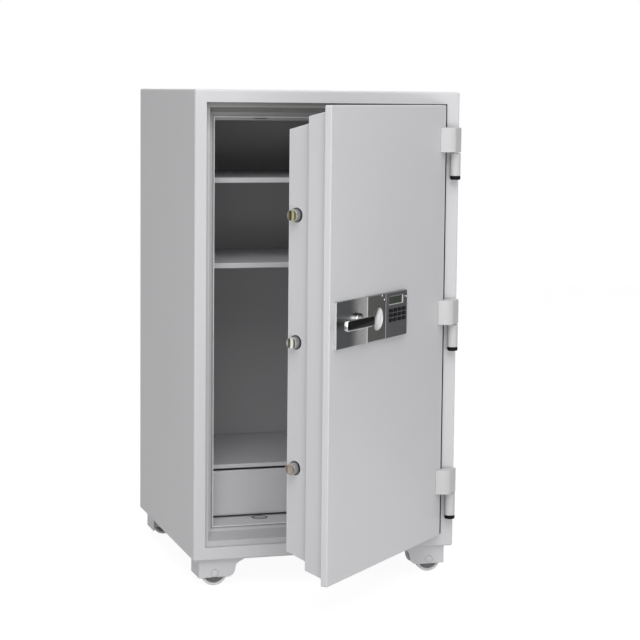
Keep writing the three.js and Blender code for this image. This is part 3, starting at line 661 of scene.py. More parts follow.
@dataclass(frozen=True)
class Pane(Finish):
    """A dark display behind a clear window, its cells showing very faintly."""

    colour: Colour
    cell: float = 0.0011
    cell_share: float = 0.35
    drift: float = 30.0
    octaves: float = 2.0
    drift_share: float = 0.5
    shades: tuple[float, float] = (0.8, 1.3)
    roughness: float = 0.14
    spread: float = 0.05
    coat: float = 0.6
    coat_roughness: float = 0.04

    def fill(self, graph: Graph) -> None:
        """Fills the graph of the display.

        Args:
            graph: The graph.
        """
        where = graph.coordinates(DOOR_AJAR)
        parts = graph.node("ShaderNodeSeparateXYZ", {}, {0: where})
        pitch = 2 * math.pi / self.cell
        columns = self._wave(Signal(graph, parts.outputs["X"]) * pitch)
        rows = self._wave(Signal(graph, parts.outputs["Z"]) * pitch)
        drift = graph.noise(where, self.drift, self.octaves)
        tone = self.cell_share * columns.at_most(rows) + self.drift_share * drift
        graph.surface(
            Base_Color=graph.shades(tone, self.colour, self.shades),
            Roughness=self.roughness + self.spread * drift,
            Coat_Weight=self.coat,
            Coat_Roughness=self.coat_roughness,
        )

    @staticmethod
    def _wave(angle: Signal) -> Signal:
        """A wave between 0 and 1."""
        return 0.5 + 0.5 * angle.graph.signal("ShaderNodeMath", {"operation": "SINE"}, {0: angle})


@dataclass(frozen=True)
class Sweep(Finish):
    """A studio floor that is white to look at but for a soft shadow, and grey as a light."""

    pale: float = 0.60
    shine: float = 0.93
    shade: float = 0.18

    def fill(self, graph: Graph) -> None:
        """Fills the graph of the floor.

        Args:
            graph: The graph.
        """
        plain = graph.signal("ShaderNodeBsdfDiffuse", {}, {"Color": (self.pale,) * 3})
        shade = graph.signal("ShaderNodeBsdfDiffuse", {}, {"Color": (self.shade,) * 3})
        glow = graph.signal("ShaderNodeEmission", {}, {"Color": WHITE, "Strength": self.shine})
        white = graph.signal("ShaderNodeAddShader", {}, {0: shade, 1: glow})
        graph.show(graph.node("ShaderNodeMixShader", {}, {0: graph.seen(), 1: plain, 2: white}))


@dataclass(frozen=True)
class Glow(Finish):
    """A card that shines evenly."""

    grey: float = 0.20

    def fill(self, graph: Graph) -> None:
        """Fills the graph of the card."""
        graph.show(graph.node("ShaderNodeEmission", {}, {"Color": (self.grey,) * 3, "Strength": 1.0}))


fine_paint = partial(Paint, grain=0.00045, relief=0.08)
# Gradients of painted light: in paint for the liner and frame, painted reflections on bolt ends and plating.
paint_with_painted_light = partial(PaintedLight, metal=0.0, shine=0.3)
bolt_painted_reflection = partial(PaintedLight, slope=(0.0, 36.0, 0.0), roughness=0.3, metal=0.2, shine=0.3)
plating_painted_reflection = partial(PaintedLight, roughness=0.14, metal=1.0)

BODY_PAINT = Paint("body_powder_paint", (0.630, 0.629, 0.646))
# The shelf paint made darker for the inside of the cabinet, as painted shade.
INNER_PAINT = fine_paint("inner_powder_paint", (0.455, 0.454, 0.466), 0.48)
SHELF_PAINT = fine_paint("shelf_powder_paint", (0.600, 0.599, 0.618), 0.45)
PLUG_PAINT = fine_paint("plug_powder_paint", (0.430, 0.430, 0.440), 0.45)
# The body paint made darker for the hinges, as painted shade; the hinges really wear the body's paint.
HINGE_PAINTED_SHADE = Paint("shade_darkened_hinge_paint", (0.560, 0.560, 0.562))
# The liner's front edge is painted near white, as a painted highlight along it.
EDGE_PAINTED_HIGHLIGHT = Paint("painted_highlight_liner_edge", (0.80, 0.80, 0.81), 0.40, grain=0.0005, relief=0.06)
WHEEL_PAINT = Paint("wheel_enamel", (0.700, 0.700, 0.692), 0.32, grain=0.000375, relief=0.06)
WHEEL_FACE = Paint("wheel_sunk_face", (0.140, 0.144, 0.150), grain=0.000375, relief=0.08)
# Painted light and shade: the liner's floor paler, its walls and ceiling a darker copy of the shelf paint.
LINER_PAINTED_LIGHT = paint_with_painted_light(
    "liner_powder_paint", (0.420, 0.419, 0.430), (0.700, 0.699, 0.715), "cabinet_liner", (0.0, 0.0, 0.95),
    ((0.004, 1.0), (0.014, 0.0)), roughness=0.48)
# Painted shade: the doorway's frame is a darker copy of the body paint, darker still at its top.
JAMB_PAINTED_SHADE = paint_with_painted_light(
    "jamb_powder_paint", (0.330, 0.326, 0.320), (0.550, 0.548, 0.558), "door_frame", (0.0, 0.0, 0.885),
    ((0.93, 1.0), (0.985, 0.0)), roughness=0.45)
FIRE_FILL = Filling("mineral_filling", (0.68, 0.65, 0.57))
# Painted reflection: dark at the left, bright on the raised right end; the pale rims paint highlights.
PLATE_PAINTED_REFLECTION = PaintedLight(
    "lever_plate_painted_reflection_steel", (0.105, 0.113, 0.120), (0.92, 0.92, 0.88), "lever_plate", (6.536, 0.0, 0.0),
    ((0.004, 0.52), (0.012, 0.03), (0.455, 0.04), (0.66, 0.24), (0.958, 0.33), (0.971, 0.62)),
    roughness=0.30, metal=1.0, rims=(0.004, 0.985))
DARK_STEEL = Brushed("dish_plate_dark_satin", (0.19, 0.19, 0.184), 0.32)
KEYPAD_METAL = Brushed("keypad_grey_satin", (0.175, 0.175, 0.184), 0.36)
CHROME = Polished("bright_plating", (0.74, 0.74, 0.75), 0.12)
# Painted reflection: bands of light and dark from the bar's foot to its top.
LEVER_PAINTED_REFLECTION = plating_painted_reflection(
    "lever_bright_plating", (0.10, 0.10, 0.10), (0.86, 0.86, 0.86), "lever_handle", (0.0, 0.0, 40.0),
    ((0.06, 0.60), (0.20, 0.45), (0.36, 0.08), (0.48, 0.25), (0.64, 1.0)))
# Painted reflection: the rose is bright below and dark at its top.
ROSE_PAINTED_REFLECTION = plating_painted_reflection(
    "rose_bright_plating", (0.03, 0.03, 0.03), (0.78, 0.78, 0.79), "lever_spindle", (0.0, 0.0, 25.0),
    ((0.10, 0.9), (0.76, 1.0), (0.84, 0.3), (0.90, 0.0)))
# Painted reflection: dark at the upper left of the dish, bright towards its lower right.
DISH_PAINTED_REFLECTION = PaintedLight(
    "dish_painted_reflection_silver", (0.055, 0.055, 0.052), (0.78, 0.78, 0.80), "lock_dish", (15.1, 0.0, -8.9),
    ((0.0, 0.0), (0.20, 0.06), (0.34, 0.85), (0.52, 1.0), (0.66, 0.75), (0.80, 0.95), (1.0, 0.4)), level=0.33)
BOLT_STEEL = Turned("bolt_zinc_plating", (0.46, 0.46, 0.47), 0.50)
# Painted reflection: bands of light and dark across each bolt's end, in a tint given per bolt.
BOLT_YELLOW_PAINTED_REFLECTION = bolt_painted_reflection(
    "bolt_end_yellow_plating", (0.045, 0.038, 0.018), (0.42, 0.40, 0.215), "bolt_upper",
    stops=((0.08, 0.55), (0.16, 0.35), (0.22, 0.0), (0.38, 0.0), (0.46, 1.0), (0.60, 0.95), (0.70, 0.15),
           (0.80, 0.20), (0.92, 0.6)))
BOLT_PALE_PAINTED_REFLECTION = bolt_painted_reflection(
    "bolt_end_pale_plating", (0.05, 0.045, 0.032), (0.78, 0.77, 0.69), "bolt_middle",
    stops=((0.08, 0.6), (0.15, 0.4), (0.21, 0.02), (0.35, 0.04), (0.44, 1.0), (0.62, 0.95), (0.72, 0.02),
           (0.86, 0.06), (0.95, 0.5)))
BOLT_DULL_PAINTED_REFLECTION = bolt_painted_reflection(
    "bolt_end_dull_plating", (0.13, 0.11, 0.09), (0.34, 0.30, 0.255), "bolt_lower",
    stops=((0.08, 0.5), (0.18, 0.1), (0.30, 1.0), (0.68, 0.9), (0.86, 0.1)))
PIN_STEEL = Turned("pin_steel", (0.50, 0.50, 0.49), 0.3, turn=0.0)
# Painted reflection: black at the top of the grip, a warmer dark grey at its foot.
GRIP_PAINTED_REFLECTION = PaintedLight(
    "grip_painted_reflection_black_plastic", (0.002, 0.002, 0.002), (0.026, 0.024, 0.023), "lever_grip", (-7.2, 0.0, 96.0),
    ((0.38, 1.0), (0.62, 0.0)), level=0.88, roughness=0.35, metal=0.0, shine=0.07)
CAP_BLACK = Moulded("hinge_cap_black_plastic", (0.004, 0.004, 0.005), 0.5, shine=0.12)
KEY_BLACK = Moulded("key_black_plastic", (0.004, 0.004, 0.005), 0.35, grain=0.0005, relief=0.08, shine=0.08)
LEGEND_WHITE = Moulded("key_legend_ink", (0.10, 0.10, 0.105), 0.5, grain=0.0008, relief=0.05, shine=0.2)
DISPLAY_PANE = Pane("display_green_pane", (0.018, 0.029, 0.014))
# The bezel's pale grey is a painted highlight round the window; the lamps give its slopes light and shade.
BEZEL_PAINTED_HIGHLIGHT = Moulded("display_bezel_painted_highlight_plastic", (0.42, 0.42, 0.41), 0.30, relief=0.03)
# The seal's grey is partly its own colour and partly painted shade on the ledge under the liner's lip.
SEAL_AND_PAINTED_SHADE = Moulded("frame_seal_rubber_and_painted_shade", (0.32, 0.32, 0.32), 0.6, relief=0.1, shine=0.3)
# A black strip as painted shade: the doorway's flank seen through the door's gap is only in shade.
HINGE_GAP_PAINTED_SHADE = Moulded("hinge_gap_painted_shade_strip", (0.012, 0.012, 0.012), 0.6, relief=0.1, shine=0.2)
# A black ring as painted shade in the gap round the floor plug.
PLUG_GAP_PAINTED_SHADE = Moulded("plug_gap_painted_shade", (0.02, 0.02, 0.02), 0.7, relief=0.1, shine=0.2)
FLOOR_SWEEP = Sweep("floor_sweep")
GREY_CARD = Glow("grey_card")


def arc(x: float, y: float, radius: float, start: float, end: float, steps: int) -> list[Point]:
    """Points along an arc, with both ends.

    Args:
        x: Centre's first coordinate.
        y: Centre's second coordinate.
        radius: The arc's radius.
        start: First angle in degrees.
        end: Last angle in degrees.
        steps: Chords in the arc.

    Returns:
        The points.
    """
    angles = (math.radians(start + (end - start) * i / steps) for i in range(steps + 1))
    return [(x + radius * math.cos(a), y + radius * math.sin(a)) for a in angles]


def dome(reach: float, rise: float, steps: int) -> list[Point]:
    """Half the profile of a shallow spherical dome, from its rim to the axis.

    Args:
        reach: Radius of the rim.
        rise: How far the middle stands above the rim.
        steps: Chords in the profile.

    Returns:
        Radius and height of each point, the rim's height being 0.
    """
    sphere = (reach**2 + rise**2) / (2 * rise)
    radii = [reach * (1 - i / steps) for i in range(steps + 1)]
    return [(r, math.sqrt(sphere**2 - r**2) - sphere + rise) for r in radii]


def soft_disc(radius: float, deep: float, chamfer: float, edge: float, bite: float) -> list[Point]:
    """Outer profile of a disc whose front is at height 0.

    Args:
        radius: The disc's radius.
        deep: Its thickness.
        chamfer: Size of the chamfer at its back.
        edge: Reach of the soft edge at its front.
        bite: How far that edge's middle lies inside both faces.

    Returns:
        Radius and height of each point, from the back to the front.
    """
    return [(radius - chamfer, -deep), (radius, chamfer - deep), (radius, -edge), (radius - bite, -bite),
            (radius - edge, 0)]


class Work:
    """A mesh being worked, as a blank is on a bench."""

    def __init__(self) -> None:
        """Starts with nothing."""
        self.mesh = bmesh.new()

    @classmethod
    def block(cls, low: Vector, high: Vector) -> "Work":
        """Starts from a block.

        Args:
            low: Its lowest corner.
            high: Its highest corner.

        Returns:
            The work.
        """
        work = cls()
        bmesh.ops.create_cube(work.mesh, size=1.0)
        bmesh.ops.scale(work.mesh, vec=high - low, verts=work.mesh.verts)
        bmesh.ops.translate(work.mesh, vec=(low + high) / 2, verts=work.mesh.verts)
        return work

    @classmethod
    def ring(cls, low: Vector, high: Vector, front: float, back: float | None = None) -> "Work":
        """Starts from an upright frame with a square hole.

        Args:
            low: Its lowest corner.
            high: Its highest corner.
            front: Width of the frame at the face with the lowest Y.
            back: Its width at the other face, if that differs.

        Returns:
            The work.
        """
        work = cls.block(low, high)
        faces = sorted((f for f in work.mesh.faces if abs(f.normal.y) > SQUARE), key=lambda f: f.normal.y)
        for face, width in zip(faces, (front, front if back is None else back)):
            bmesh.ops.inset_individual(work.mesh, faces=[face], thickness=width, use_even_offset=True)
        bmesh.ops.bridge_loops(work.mesh, edges=[e for f in faces for e in f.edges])
        bmesh.ops.delete(work.mesh, geom=faces, context="FACES_ONLY")
        work._face_out()
        return work

    @classmethod
    def sheet(cls, wide: float, tall: float) -> "Work":
        """Starts from a flat sheet in the XY plane.

        Args:
            wide: Its length along X.
            tall: Its length along Y.

        Returns:
            The work.
        """
        work = cls()
        bmesh.ops.create_grid(work.mesh, x_segments=1, y_segments=1, size=0.5)
        bmesh.ops.scale(work.mesh, vec=(wide, tall, 1.0), verts=work.mesh.verts)
        return work

    @classmethod
    def copy_of(cls, node: str) -> "Work":
        """Starts from a solid of the frame, its loose triangles joined into whole faces.

        Args:
            node: The solid.

        Returns:
            The work.
        """
        work = cls()
        work.mesh.from_mesh(frame["nodes"][node].data)
        bmesh.ops.remove_doubles(work.mesh, verts=work.mesh.verts, dist=WELD)
        bmesh.ops.dissolve_limit(work.mesh, angle_limit=FLAT, verts=work.mesh.verts, edges=work.mesh.edges)
        return work

    @classmethod
    def drawn(cls, outline: Iterable[Point], depth: float) -> "Work":
        """Draws a flat outline up along Z.

        Args:
            outline: Its points in order, in the XY plane.
            depth: How far it is drawn.

        Returns:
            The work.
        """
        work = cls()
        face = work.mesh.faces.new([work.mesh.verts.new((x, y, 0.0)) for x, y in outline])
        swept = bmesh.ops.extrude_face_region(work.mesh, geom=[face])
        top = [g for g in swept["geom"] if isinstance(g, bmesh.types.BMVert)]
        bmesh.ops.translate(work.mesh, vec=(0.0, 0.0, depth), verts=top)
        work._face_out()
        return work

    @classmethod
    def turned(cls, profile: Sequence[Point], steps: int) -> "Work":
        """Turns a profile round Z.

        Args:
            profile: Radius and height of each point, from the axis back to it or round to its start.
            steps: Faces round the axis.

        Returns:
            The work.
        """
        work = cls()
        verts = [work.mesh.verts.new((radius, 0.0, height)) for radius, height in profile]
        edges = [work.mesh.edges.new(pair) for pair in zip(verts, verts[1:])]
        bmesh.ops.spin(work.mesh, geom=verts + edges, cent=(0, 0, 0), axis=(0, 0, 1), angle=2 * math.pi,
                       steps=steps, use_merge=True, use_duplicate=False)
        bmesh.ops.remove_doubles(work.mesh, verts=work.mesh.verts, dist=SEAM)
        work._face_out()
        return work

    def _face_out(self) -> None:
        """Points every face outwards."""
        bmesh.ops.recalc_face_normals(self.mesh, faces=self.mesh.faces)

    def sharp(self, angle: float = 30.0, test: Callable[[bmesh.types.BMEdge], bool] | None = None
              ) -> list[bmesh.types.BMEdge]:
        """Picks sharp edges.

        Args:
            angle: Their faces meet at more than this, in degrees.
            test: What they must pass besides, if anything.

        Returns:
            The edges.
        """
        limit = math.radians(angle)
        folded = [e for e in self.mesh.edges if len(e.link_faces) == 2 and e.calc_face_angle() > limit]
        return [e for e in folded if test is None or test(e)]

    def in_front(self, y: float, angle: float = 30.0) -> list[bmesh.types.BMEdge]:
        """Picks the sharp edges that lie in front of a plane."""
        return self.sharp(angle, lambda e: max(v.co.y for v in e.verts) < y)

    def running(self, axis: Axis) -> list[bmesh.types.BMEdge]:
        """Picks the sharp edges that run along an axis.

        Args:
            axis: The axis.

        Returns:
            The edges.
        """
        slack = 0.05 * MM
        across = [other for other in range(3) if other != axis]
        way = {e: e.verts[0].co - e.verts[1].co for e in self.mesh.edges}
        return self.sharp(test=lambda e: all(abs(way[e][other]) < slack for other in across))

    def outer(self) -> list[bmesh.types.BMEdge]:
        """Picks the sharp edges between faces that have the whole work behind them.

        Returns:
            The edges.
        """
        slack = 0.02 * MM
        verts = self.mesh.verts
        shell = {f for f in self.mesh.faces if all(f.normal.dot(v.co - f.verts[0].co) < slack for v in verts)}
        return self.sharp(test=lambda e: shell.issuperset(e.link_faces))

    def round(self, edges: Sequence[bmesh.types.BMEdge], radius: float, segments: int = 3) -> "Work":
        """Rounds edges.

        Args:
            edges: The edges.
            radius: How far the rounding reaches on each side.
            segments: Faces across the rounding.

        Returns:
            The work itself.
        """
        bmesh.ops.bevel(self.mesh, geom=list(edges), offset=radius, offset_type="OFFSET", affect="EDGES",
                        segments=segments, profile=0.5, material=-1, clamp_overlap=True)
        return self

    def soften(self, radius: float, segments: int = 2, angle: float = 30.0) -> "Work":
        """Rounds every sharp edge a little."""
        return self.round(self.sharp(angle), radius, segments)

    def carried(self, *matrices: Matrix) -> "Work":
        """Moves the work through matrices.

        Args:
            matrices: The matrices, the first one first.

        Returns:
            The work itself.
        """
        for matrix in matrices:
            bmesh.ops.transform(self.mesh, matrix=matrix, verts=self.mesh.verts)
        return self

    def placed(self, name: str, finish: Finish) -> bpy.types.Object:
        """Puts the work in the scene and ends it.

        Args:
            name: Name of the object.
            finish: Its finish.

        Returns:
            The object.
        """
        mesh = bpy.data.meshes.new(name)
        self.mesh.to_mesh(mesh)
        self.mesh.free()
        mesh.materials.append(finish.material())
        made = bpy.data.objects.new(name, mesh)
        bpy.context.scene.collection.objects.link(made)
        return made

    def done(self, name: str, finish: Finish, body: str, slot: Slot, replaces: Sequence[str] = ()
             ) -> bpy.types.Object:
        """Makes the work a piece of the safe.

        Args:
            name: The piece's name.
            finish: Its finish.
            body: The body that it rides on.
            slot: Not used.
            replaces: The solids that it stands for.

        Returns:
            The piece.
        """
        piece = self.placed(name, finish)
        mesh = piece.data
        mesh.polygons.foreach_set("use_smooth", [True] * len(mesh.polygons))
        mesh.set_sharp_from_angle(angle=CREASE)
        weigh = piece.modifiers.new("even_faces", "WEIGHTED_NORMAL")
        weigh.keep_sharp = True
        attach(piece, body)
        if replaces:
            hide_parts(*replaces)
        log.info("%s: %d faces on %s", name, len(mesh.polygons), body)
        return piece


def dress(node: str, finish: Finish) -> None:
    """Gives a solid of the frame its finish.

    Args:
        node: The solid.
        finish: The finish.
    """
    slots = frame["nodes"][node].material_slots
    for slot in slots:
        slot.material = finish.material()
    if not slots:
        frame["nodes"][node].data.materials.append(finish.material())
    log.info("%s: dressed in %s", node, finish.name)


def softened(node: str, finish: Finish, body: str, slot: Slot, radius: float) -> None:
    """Replaces a solid with a copy whose edges are softened.

    Args:
        node: The solid.
        finish: The copy's finish.
        body: The body that it rides on.
        slot: The record's slot.
        radius: Radius of the softened edges.
    """
    Work.copy_of(node).soften(radius).done(f"{node}_sheet", finish, body, slot, [node])


@dataclass
class Cabinet:
    """The casing, the stepped frame of the doorway and the lining."""

    casing_edge: float = 5 * MM
    casing_sheet: float = 3 * MM
    fold_angle: float = math.radians(60)
    jamb_sheet: float = 2.5 * MM
    lip: float = 0.9 * MM
    mouth_wide: float = 2 * MM
    mouth_deep: float = 2 * MM
    mouth_proud: float = 0.3 * MM
    mouth_edge: float = 0.25 * MM
    seal_wide: float = 4 * MM
    seal_thick: float = 0.8 * MM
    seal_edge: float = 0.2 * MM
    strip_thick: float = 0.6 * MM
    strip_deep: float = 18 * MM
    strip_back: float = 0.7 * MM
    strip_end: float = 4 * MM
    strip_clear: float = 0.05 * MM

    def build(self) -> None:
        """Builds and dresses the cabinet."""
        self._casing()
        softened("door_frame", JAMB_PAINTED_SHADE, Body.CABINET.value, Slot.BODY_PAINT, self.lip)
        softened("cabinet_liner", LINER_PAINTED_LIGHT, Body.CABINET.value, Slot.INNER_PAINT, self.lip)
        self._liner_front()
        self._hinge_gap_shade()
        dress("cabinet_insulation", FIRE_FILL)

    def _liner_front(self) -> None:
        """Lays the seal on the frame's last ledge round the liner, and the liner's edge as painted highlight.
        """
        liner = ROOM.box("cabinet_liner")
        ledge = ROOM.box("door_frame").high.y - self.jamb_sheet
        around = Vector((self.seal_wide, 0, self.seal_wide))
        low = Vector((liner.low.x, ledge - self.seal_thick, liner.low.z)) - around
        high = Vector((liner.high.x, ledge, liner.high.z)) + around
        Work.ring(low, high, self.seal_wide).soften(self.seal_edge).done(
            "frame_seal", SEAL_AND_PAINTED_SHADE, Body.CABINET.value, Slot.INNER_PAINT)
        # A pale ring on the liner's front edge, as a painted highlight.
        low = Vector((liner.low.x, liner.low.y - self.mouth_proud, liner.low.z))
        high = Vector((liner.high.x, liner.low.y + self.mouth_deep, liner.high.z))
        Work.ring(low, high, self.mouth_wide).soften(self.mouth_edge).done(
            "liner_front_highlight_edge", EDGE_PAINTED_HIGHLIGHT, Body.CABINET.value, Slot.BODY_PAINT)

    def _hinge_gap_shade(self) -> None:
        """Lays a black strip on the doorway's flank behind the hinges, as painted shade in the door's gap."""
        jamb = ROOM.box("door_frame")
        flank = jamb.high.x - self.jamb_sheet
        front = ROOM.box("cabinet_casing").low.y + self.strip_back
        low = Vector((flank - self.strip_thick, front, jamb.low.z + self.strip_end))
        high = Vector((flank - self.strip_clear, front + self.strip_deep, jamb.high.z - self.strip_end))
        Work.block(low, high).soften(self.seal_edge).done(
            "hinge_gap_shade_strip", HINGE_GAP_PAINTED_SHADE, Body.CABINET.value, Slot.BLACK_PLASTIC)

    def _casing(self) -> None:
        """Makes the outer shell: a softened box, its doorway cut out and its sheet given its thickness."""
        shell = ROOM.box("cabinet_casing")
        jamb = ROOM.box("door_frame")
        work = Work.block(shell.low, shell.high)
        work.round(work.sharp(), self.casing_edge, segments=5)
        inset = self.jamb_sheet
        right, up = Vector((1, 0, 0)), Vector((0, 0, 1))
        cuts = [(right * (jamb.low.x + inset), right), (right * (jamb.high.x - inset), right),
                (up * (jamb.low.z + inset), up), (up * (jamb.high.z - inset), up)]
        for point, normal in cuts:
            front = self._front_faces(work)
            geom = list({g for face in front for g in (face, *face.edges, *face.verts)})
            bmesh.ops.bisect_plane(work.mesh, geom=geom, dist=LEVEL, plane_co=point, plane_no=normal)
        doorway = min(self._front_faces(work), key=lambda f: (f.calc_center_median() - jamb.middle).xz.length)
        bmesh.ops.delete(work.mesh, geom=[doorway], context="FACES")
        casing = work.done("casing_shell", BODY_PAINT, Body.CABINET.value, Slot.BODY_PAINT,
                           ["cabinet_casing"])
        wall = casing.modifiers.new("sheet", "SOLIDIFY")
        wall.thickness = self.casing_sheet
        wall.offset = -1.0
        fold = casing.modifiers.new("fold", "BEVEL")
        fold.limit_method = "ANGLE"
        fold.angle_limit = self.fold_angle
        fold.width = self.lip
        fold.segments = 3
        # The weighted normals come last, after the sheet and its fold.
        casing.modifiers.move(0, 2)

    @staticmethod
    def _front_faces(work: Work) -> list[bmesh.types.BMFace]:
        """Picks the flat faces at the front.

        Args:
            work: The work.

        Returns:
            The faces.
        """
        front = min(v.co.y for v in work.mesh.verts)
        facing = [f for f in work.mesh.faces if f.normal.y < -SQUARE]
        return [f for f in facing if abs(f.calc_center_median().y - front) < LEVEL]


@dataclass
class Interior:
    """The shelves, the drawer and the plug in the floor."""

    fold: float = 0.5 * MM
    front_drop: float = 2.5 * MM
    plug_chamfer: float = 1 * MM
    plug_edge: float = 0.8 * MM
    plug_bite: float = 0.25 * MM
    plug_rim: float = 3.5 * MM
    plug_dish: float = 1.5 * MM
    plug_gap: float = 3 * MM
    gap_thick: float = 0.2 * MM
    gap_lift: float = 0.6 * MM
    steps: int = 48

    def build(self) -> None:
        """Builds and dresses what is inside the cabinet."""
        for shelf in ("upper_shelf", "middle_shelf", "drawer_shelf"):
            softened(shelf, SHELF_PAINT, Body.CABINET.value, Slot.SHELF_PAINT, self.fold)
        self._drawer_front()
        softened("drawer_tray", INNER_PAINT, Body.DRAWER.value, Slot.INNER_PAINT, self.fold)
        self._plug()

    def _drawer_front(self) -> None:
        """Folds the drawer's front, which hangs a little lower than its tray."""
        work = Work.copy_of("drawer_front")
        foot = ROOM.box("drawer_front").low.z
        for vert in work.mesh.verts:
            if vert.co.z < foot + NEAR:
                vert.co.z -= self.front_drop
        work.soften(self.fold).done("drawer_front_sheet", SHELF_PAINT, Body.DRAWER.value, Slot.SHELF_PAINT,
                                    ["drawer_front"])

    def _plug(self) -> None:
        """Turns the plug of the anchor hole, and a black ring round it as painted shade in its gap."""
        seat = ROOM.box("anchor_plug")
        radius, deep = seat.size.x / 2, seat.size.z
        rim, dish = radius - self.plug_rim, self.plug_dish
        profile = [
            (0, -deep), *soft_disc(radius, deep, self.plug_chamfer, self.plug_edge, self.plug_bite),
            (rim + 0.5 * MM, 0), (rim, -0.4 * MM), (rim - dish, -dish),
            (rim - dish - 1 * MM, -dish - 0.1 * MM), (0, -dish - 0.1 * MM),
        ]
        top = Matrix.Translation((seat.middle.x, seat.middle.y, seat.high.z))
        Work.turned(profile, self.steps).carried(top).done(
            "floor_plug", PLUG_PAINT, Body.CABINET.value, Slot.SHELF_PAINT, ["anchor_plug"])
        outer, thin = radius + self.plug_gap, self.gap_thick
        washer = [(radius, -thin), (outer, -thin), (outer, 0), (radius, 0), (radius, -thin)]
        Work.turned(washer, self.steps).carried(top, Matrix.Translation((0, 0, self.gap_lift))).done(
            "painted_shade_plug_ring", PLUG_GAP_PAINTED_SHADE, Body.CABINET.value, Slot.INNER_PAINT)


@dataclass
class Hinge:
    """One of the door's hinges: leaf, knuckle, pin and bottom cap."""

    height: Height
    flank: float = 27 * MM
    flank_points: int = 20
    lean: float = 6 * MM
    swell: float = 0.55
    leaf_end: float = 14 * MM
    leaf_back: float = 3.2 * MM
    leaf_foot: float = 35.5 * MM
    leaf_slant: float = 5 * MM
    leaf_edge: float = 1.3 * MM
    web: float = 8 * MM
    knuckle_edge: float = 0.91 * MM
    cap_foot: float = 3.2 * MM
    cap_rim: float = 0.4 * MM

    @property
    def pin(self) -> Vector:
        """The middle of the hinge's pin."""
        return ROOM.box(f"hinge_pin_{self.height.value}").middle

    def build(self) -> None:
        """Builds and dresses the hinge."""
        self._leaf()
        self._knuckle()
        self._cap()
        dress(f"hinge_pin_{self.height.value}", PIN_STEEL)

    def _leaf(self) -> None:
        """Draws the door's leaf, its flank rounded down to the door."""
        node = f"hinge_leaf_{self.height.value}"
        span = DOOR.box(node)
        left, front, back = span.low.x, span.low.y, span.high.y
        top = left + self.flank
        handles = [(left, back), (left + self.lean, front * self.swell + back * (1 - self.swell)),
                   (top - self.flank * self.swell, front), (top, front)]
        flank = interpolate_bezier(*[Vector((x, y, 0)) for x, y in handles], self.flank_points)
        end = arc(self.pin.x, self.pin.y, self.leaf_end, -90, 90, steps=24)
        foot = left + self.leaf_foot
        heel = [(foot, back - self.leaf_back), (foot - self.leaf_slant, back)]
        work = Work.drawn([*(point.xy for point in flank), *end, *heel], span.size.z)
        work.soften(self.leaf_edge, segments=3)
        work.carried(Matrix.Translation((0, 0, span.low.z)), DOOR.matrix)
        work.done(f"hinge_{self.height.value}_leaf", HINGE_PAINTED_SHADE, Body.DOOR.value, Slot.BODY_PAINT, [node])

    def _knuckle(self) -> None:
        """Draws the frame's knuckle and the web that carries it."""
        pin = self.pin
        node = f"hinge_knuckle_{self.height.value}"
        span = ROOM.box(node)
        radius = span.size.x / 2
        meets = math.degrees(math.asin(self.web / radius))
        barrel = arc(pin.x, pin.y, radius, 90 + meets, 90 + 360 - meets, steps=48)
        web = [(pin.x + self.web, span.high.y), (pin.x - self.web, span.high.y)]
        work = Work.drawn(barrel + web, span.size.z)
        level = work.sharp(60, lambda e: abs(e.verts[0].co.z - e.verts[1].co.z) < LEVEL)
        work.round(level, self.knuckle_edge)
        work.carried(Matrix.Translation((0, 0, span.low.z))).done(
            f"hinge_{self.height.value}_knuckle", HINGE_PAINTED_SHADE, Body.CABINET.value, Slot.BODY_PAINT, [node])

    def _cap(self) -> None:
        """Turns the black cap under the knuckle."""
        node = f"hinge_cap_{self.height.value}"
        span = ROOM.box(node)
        radius, tall = span.size.x / 2, span.size.z
        foot = arc(radius - self.cap_foot, self.cap_foot, self.cap_foot, -90, 0, steps=8)
        profile = [(0, 0), *foot, (radius, tall - self.cap_rim), (radius - self.cap_rim, tall), (0, tall)]
        seat = Matrix.Translation((self.pin.x, self.pin.y, span.low.z))
        Work.turned(profile, steps=56).carried(seat).done(
            f"hinge_{self.height.value}_cap", CAP_BLACK, Body.CABINET.value, Slot.BLACK_PLASTIC, [node])


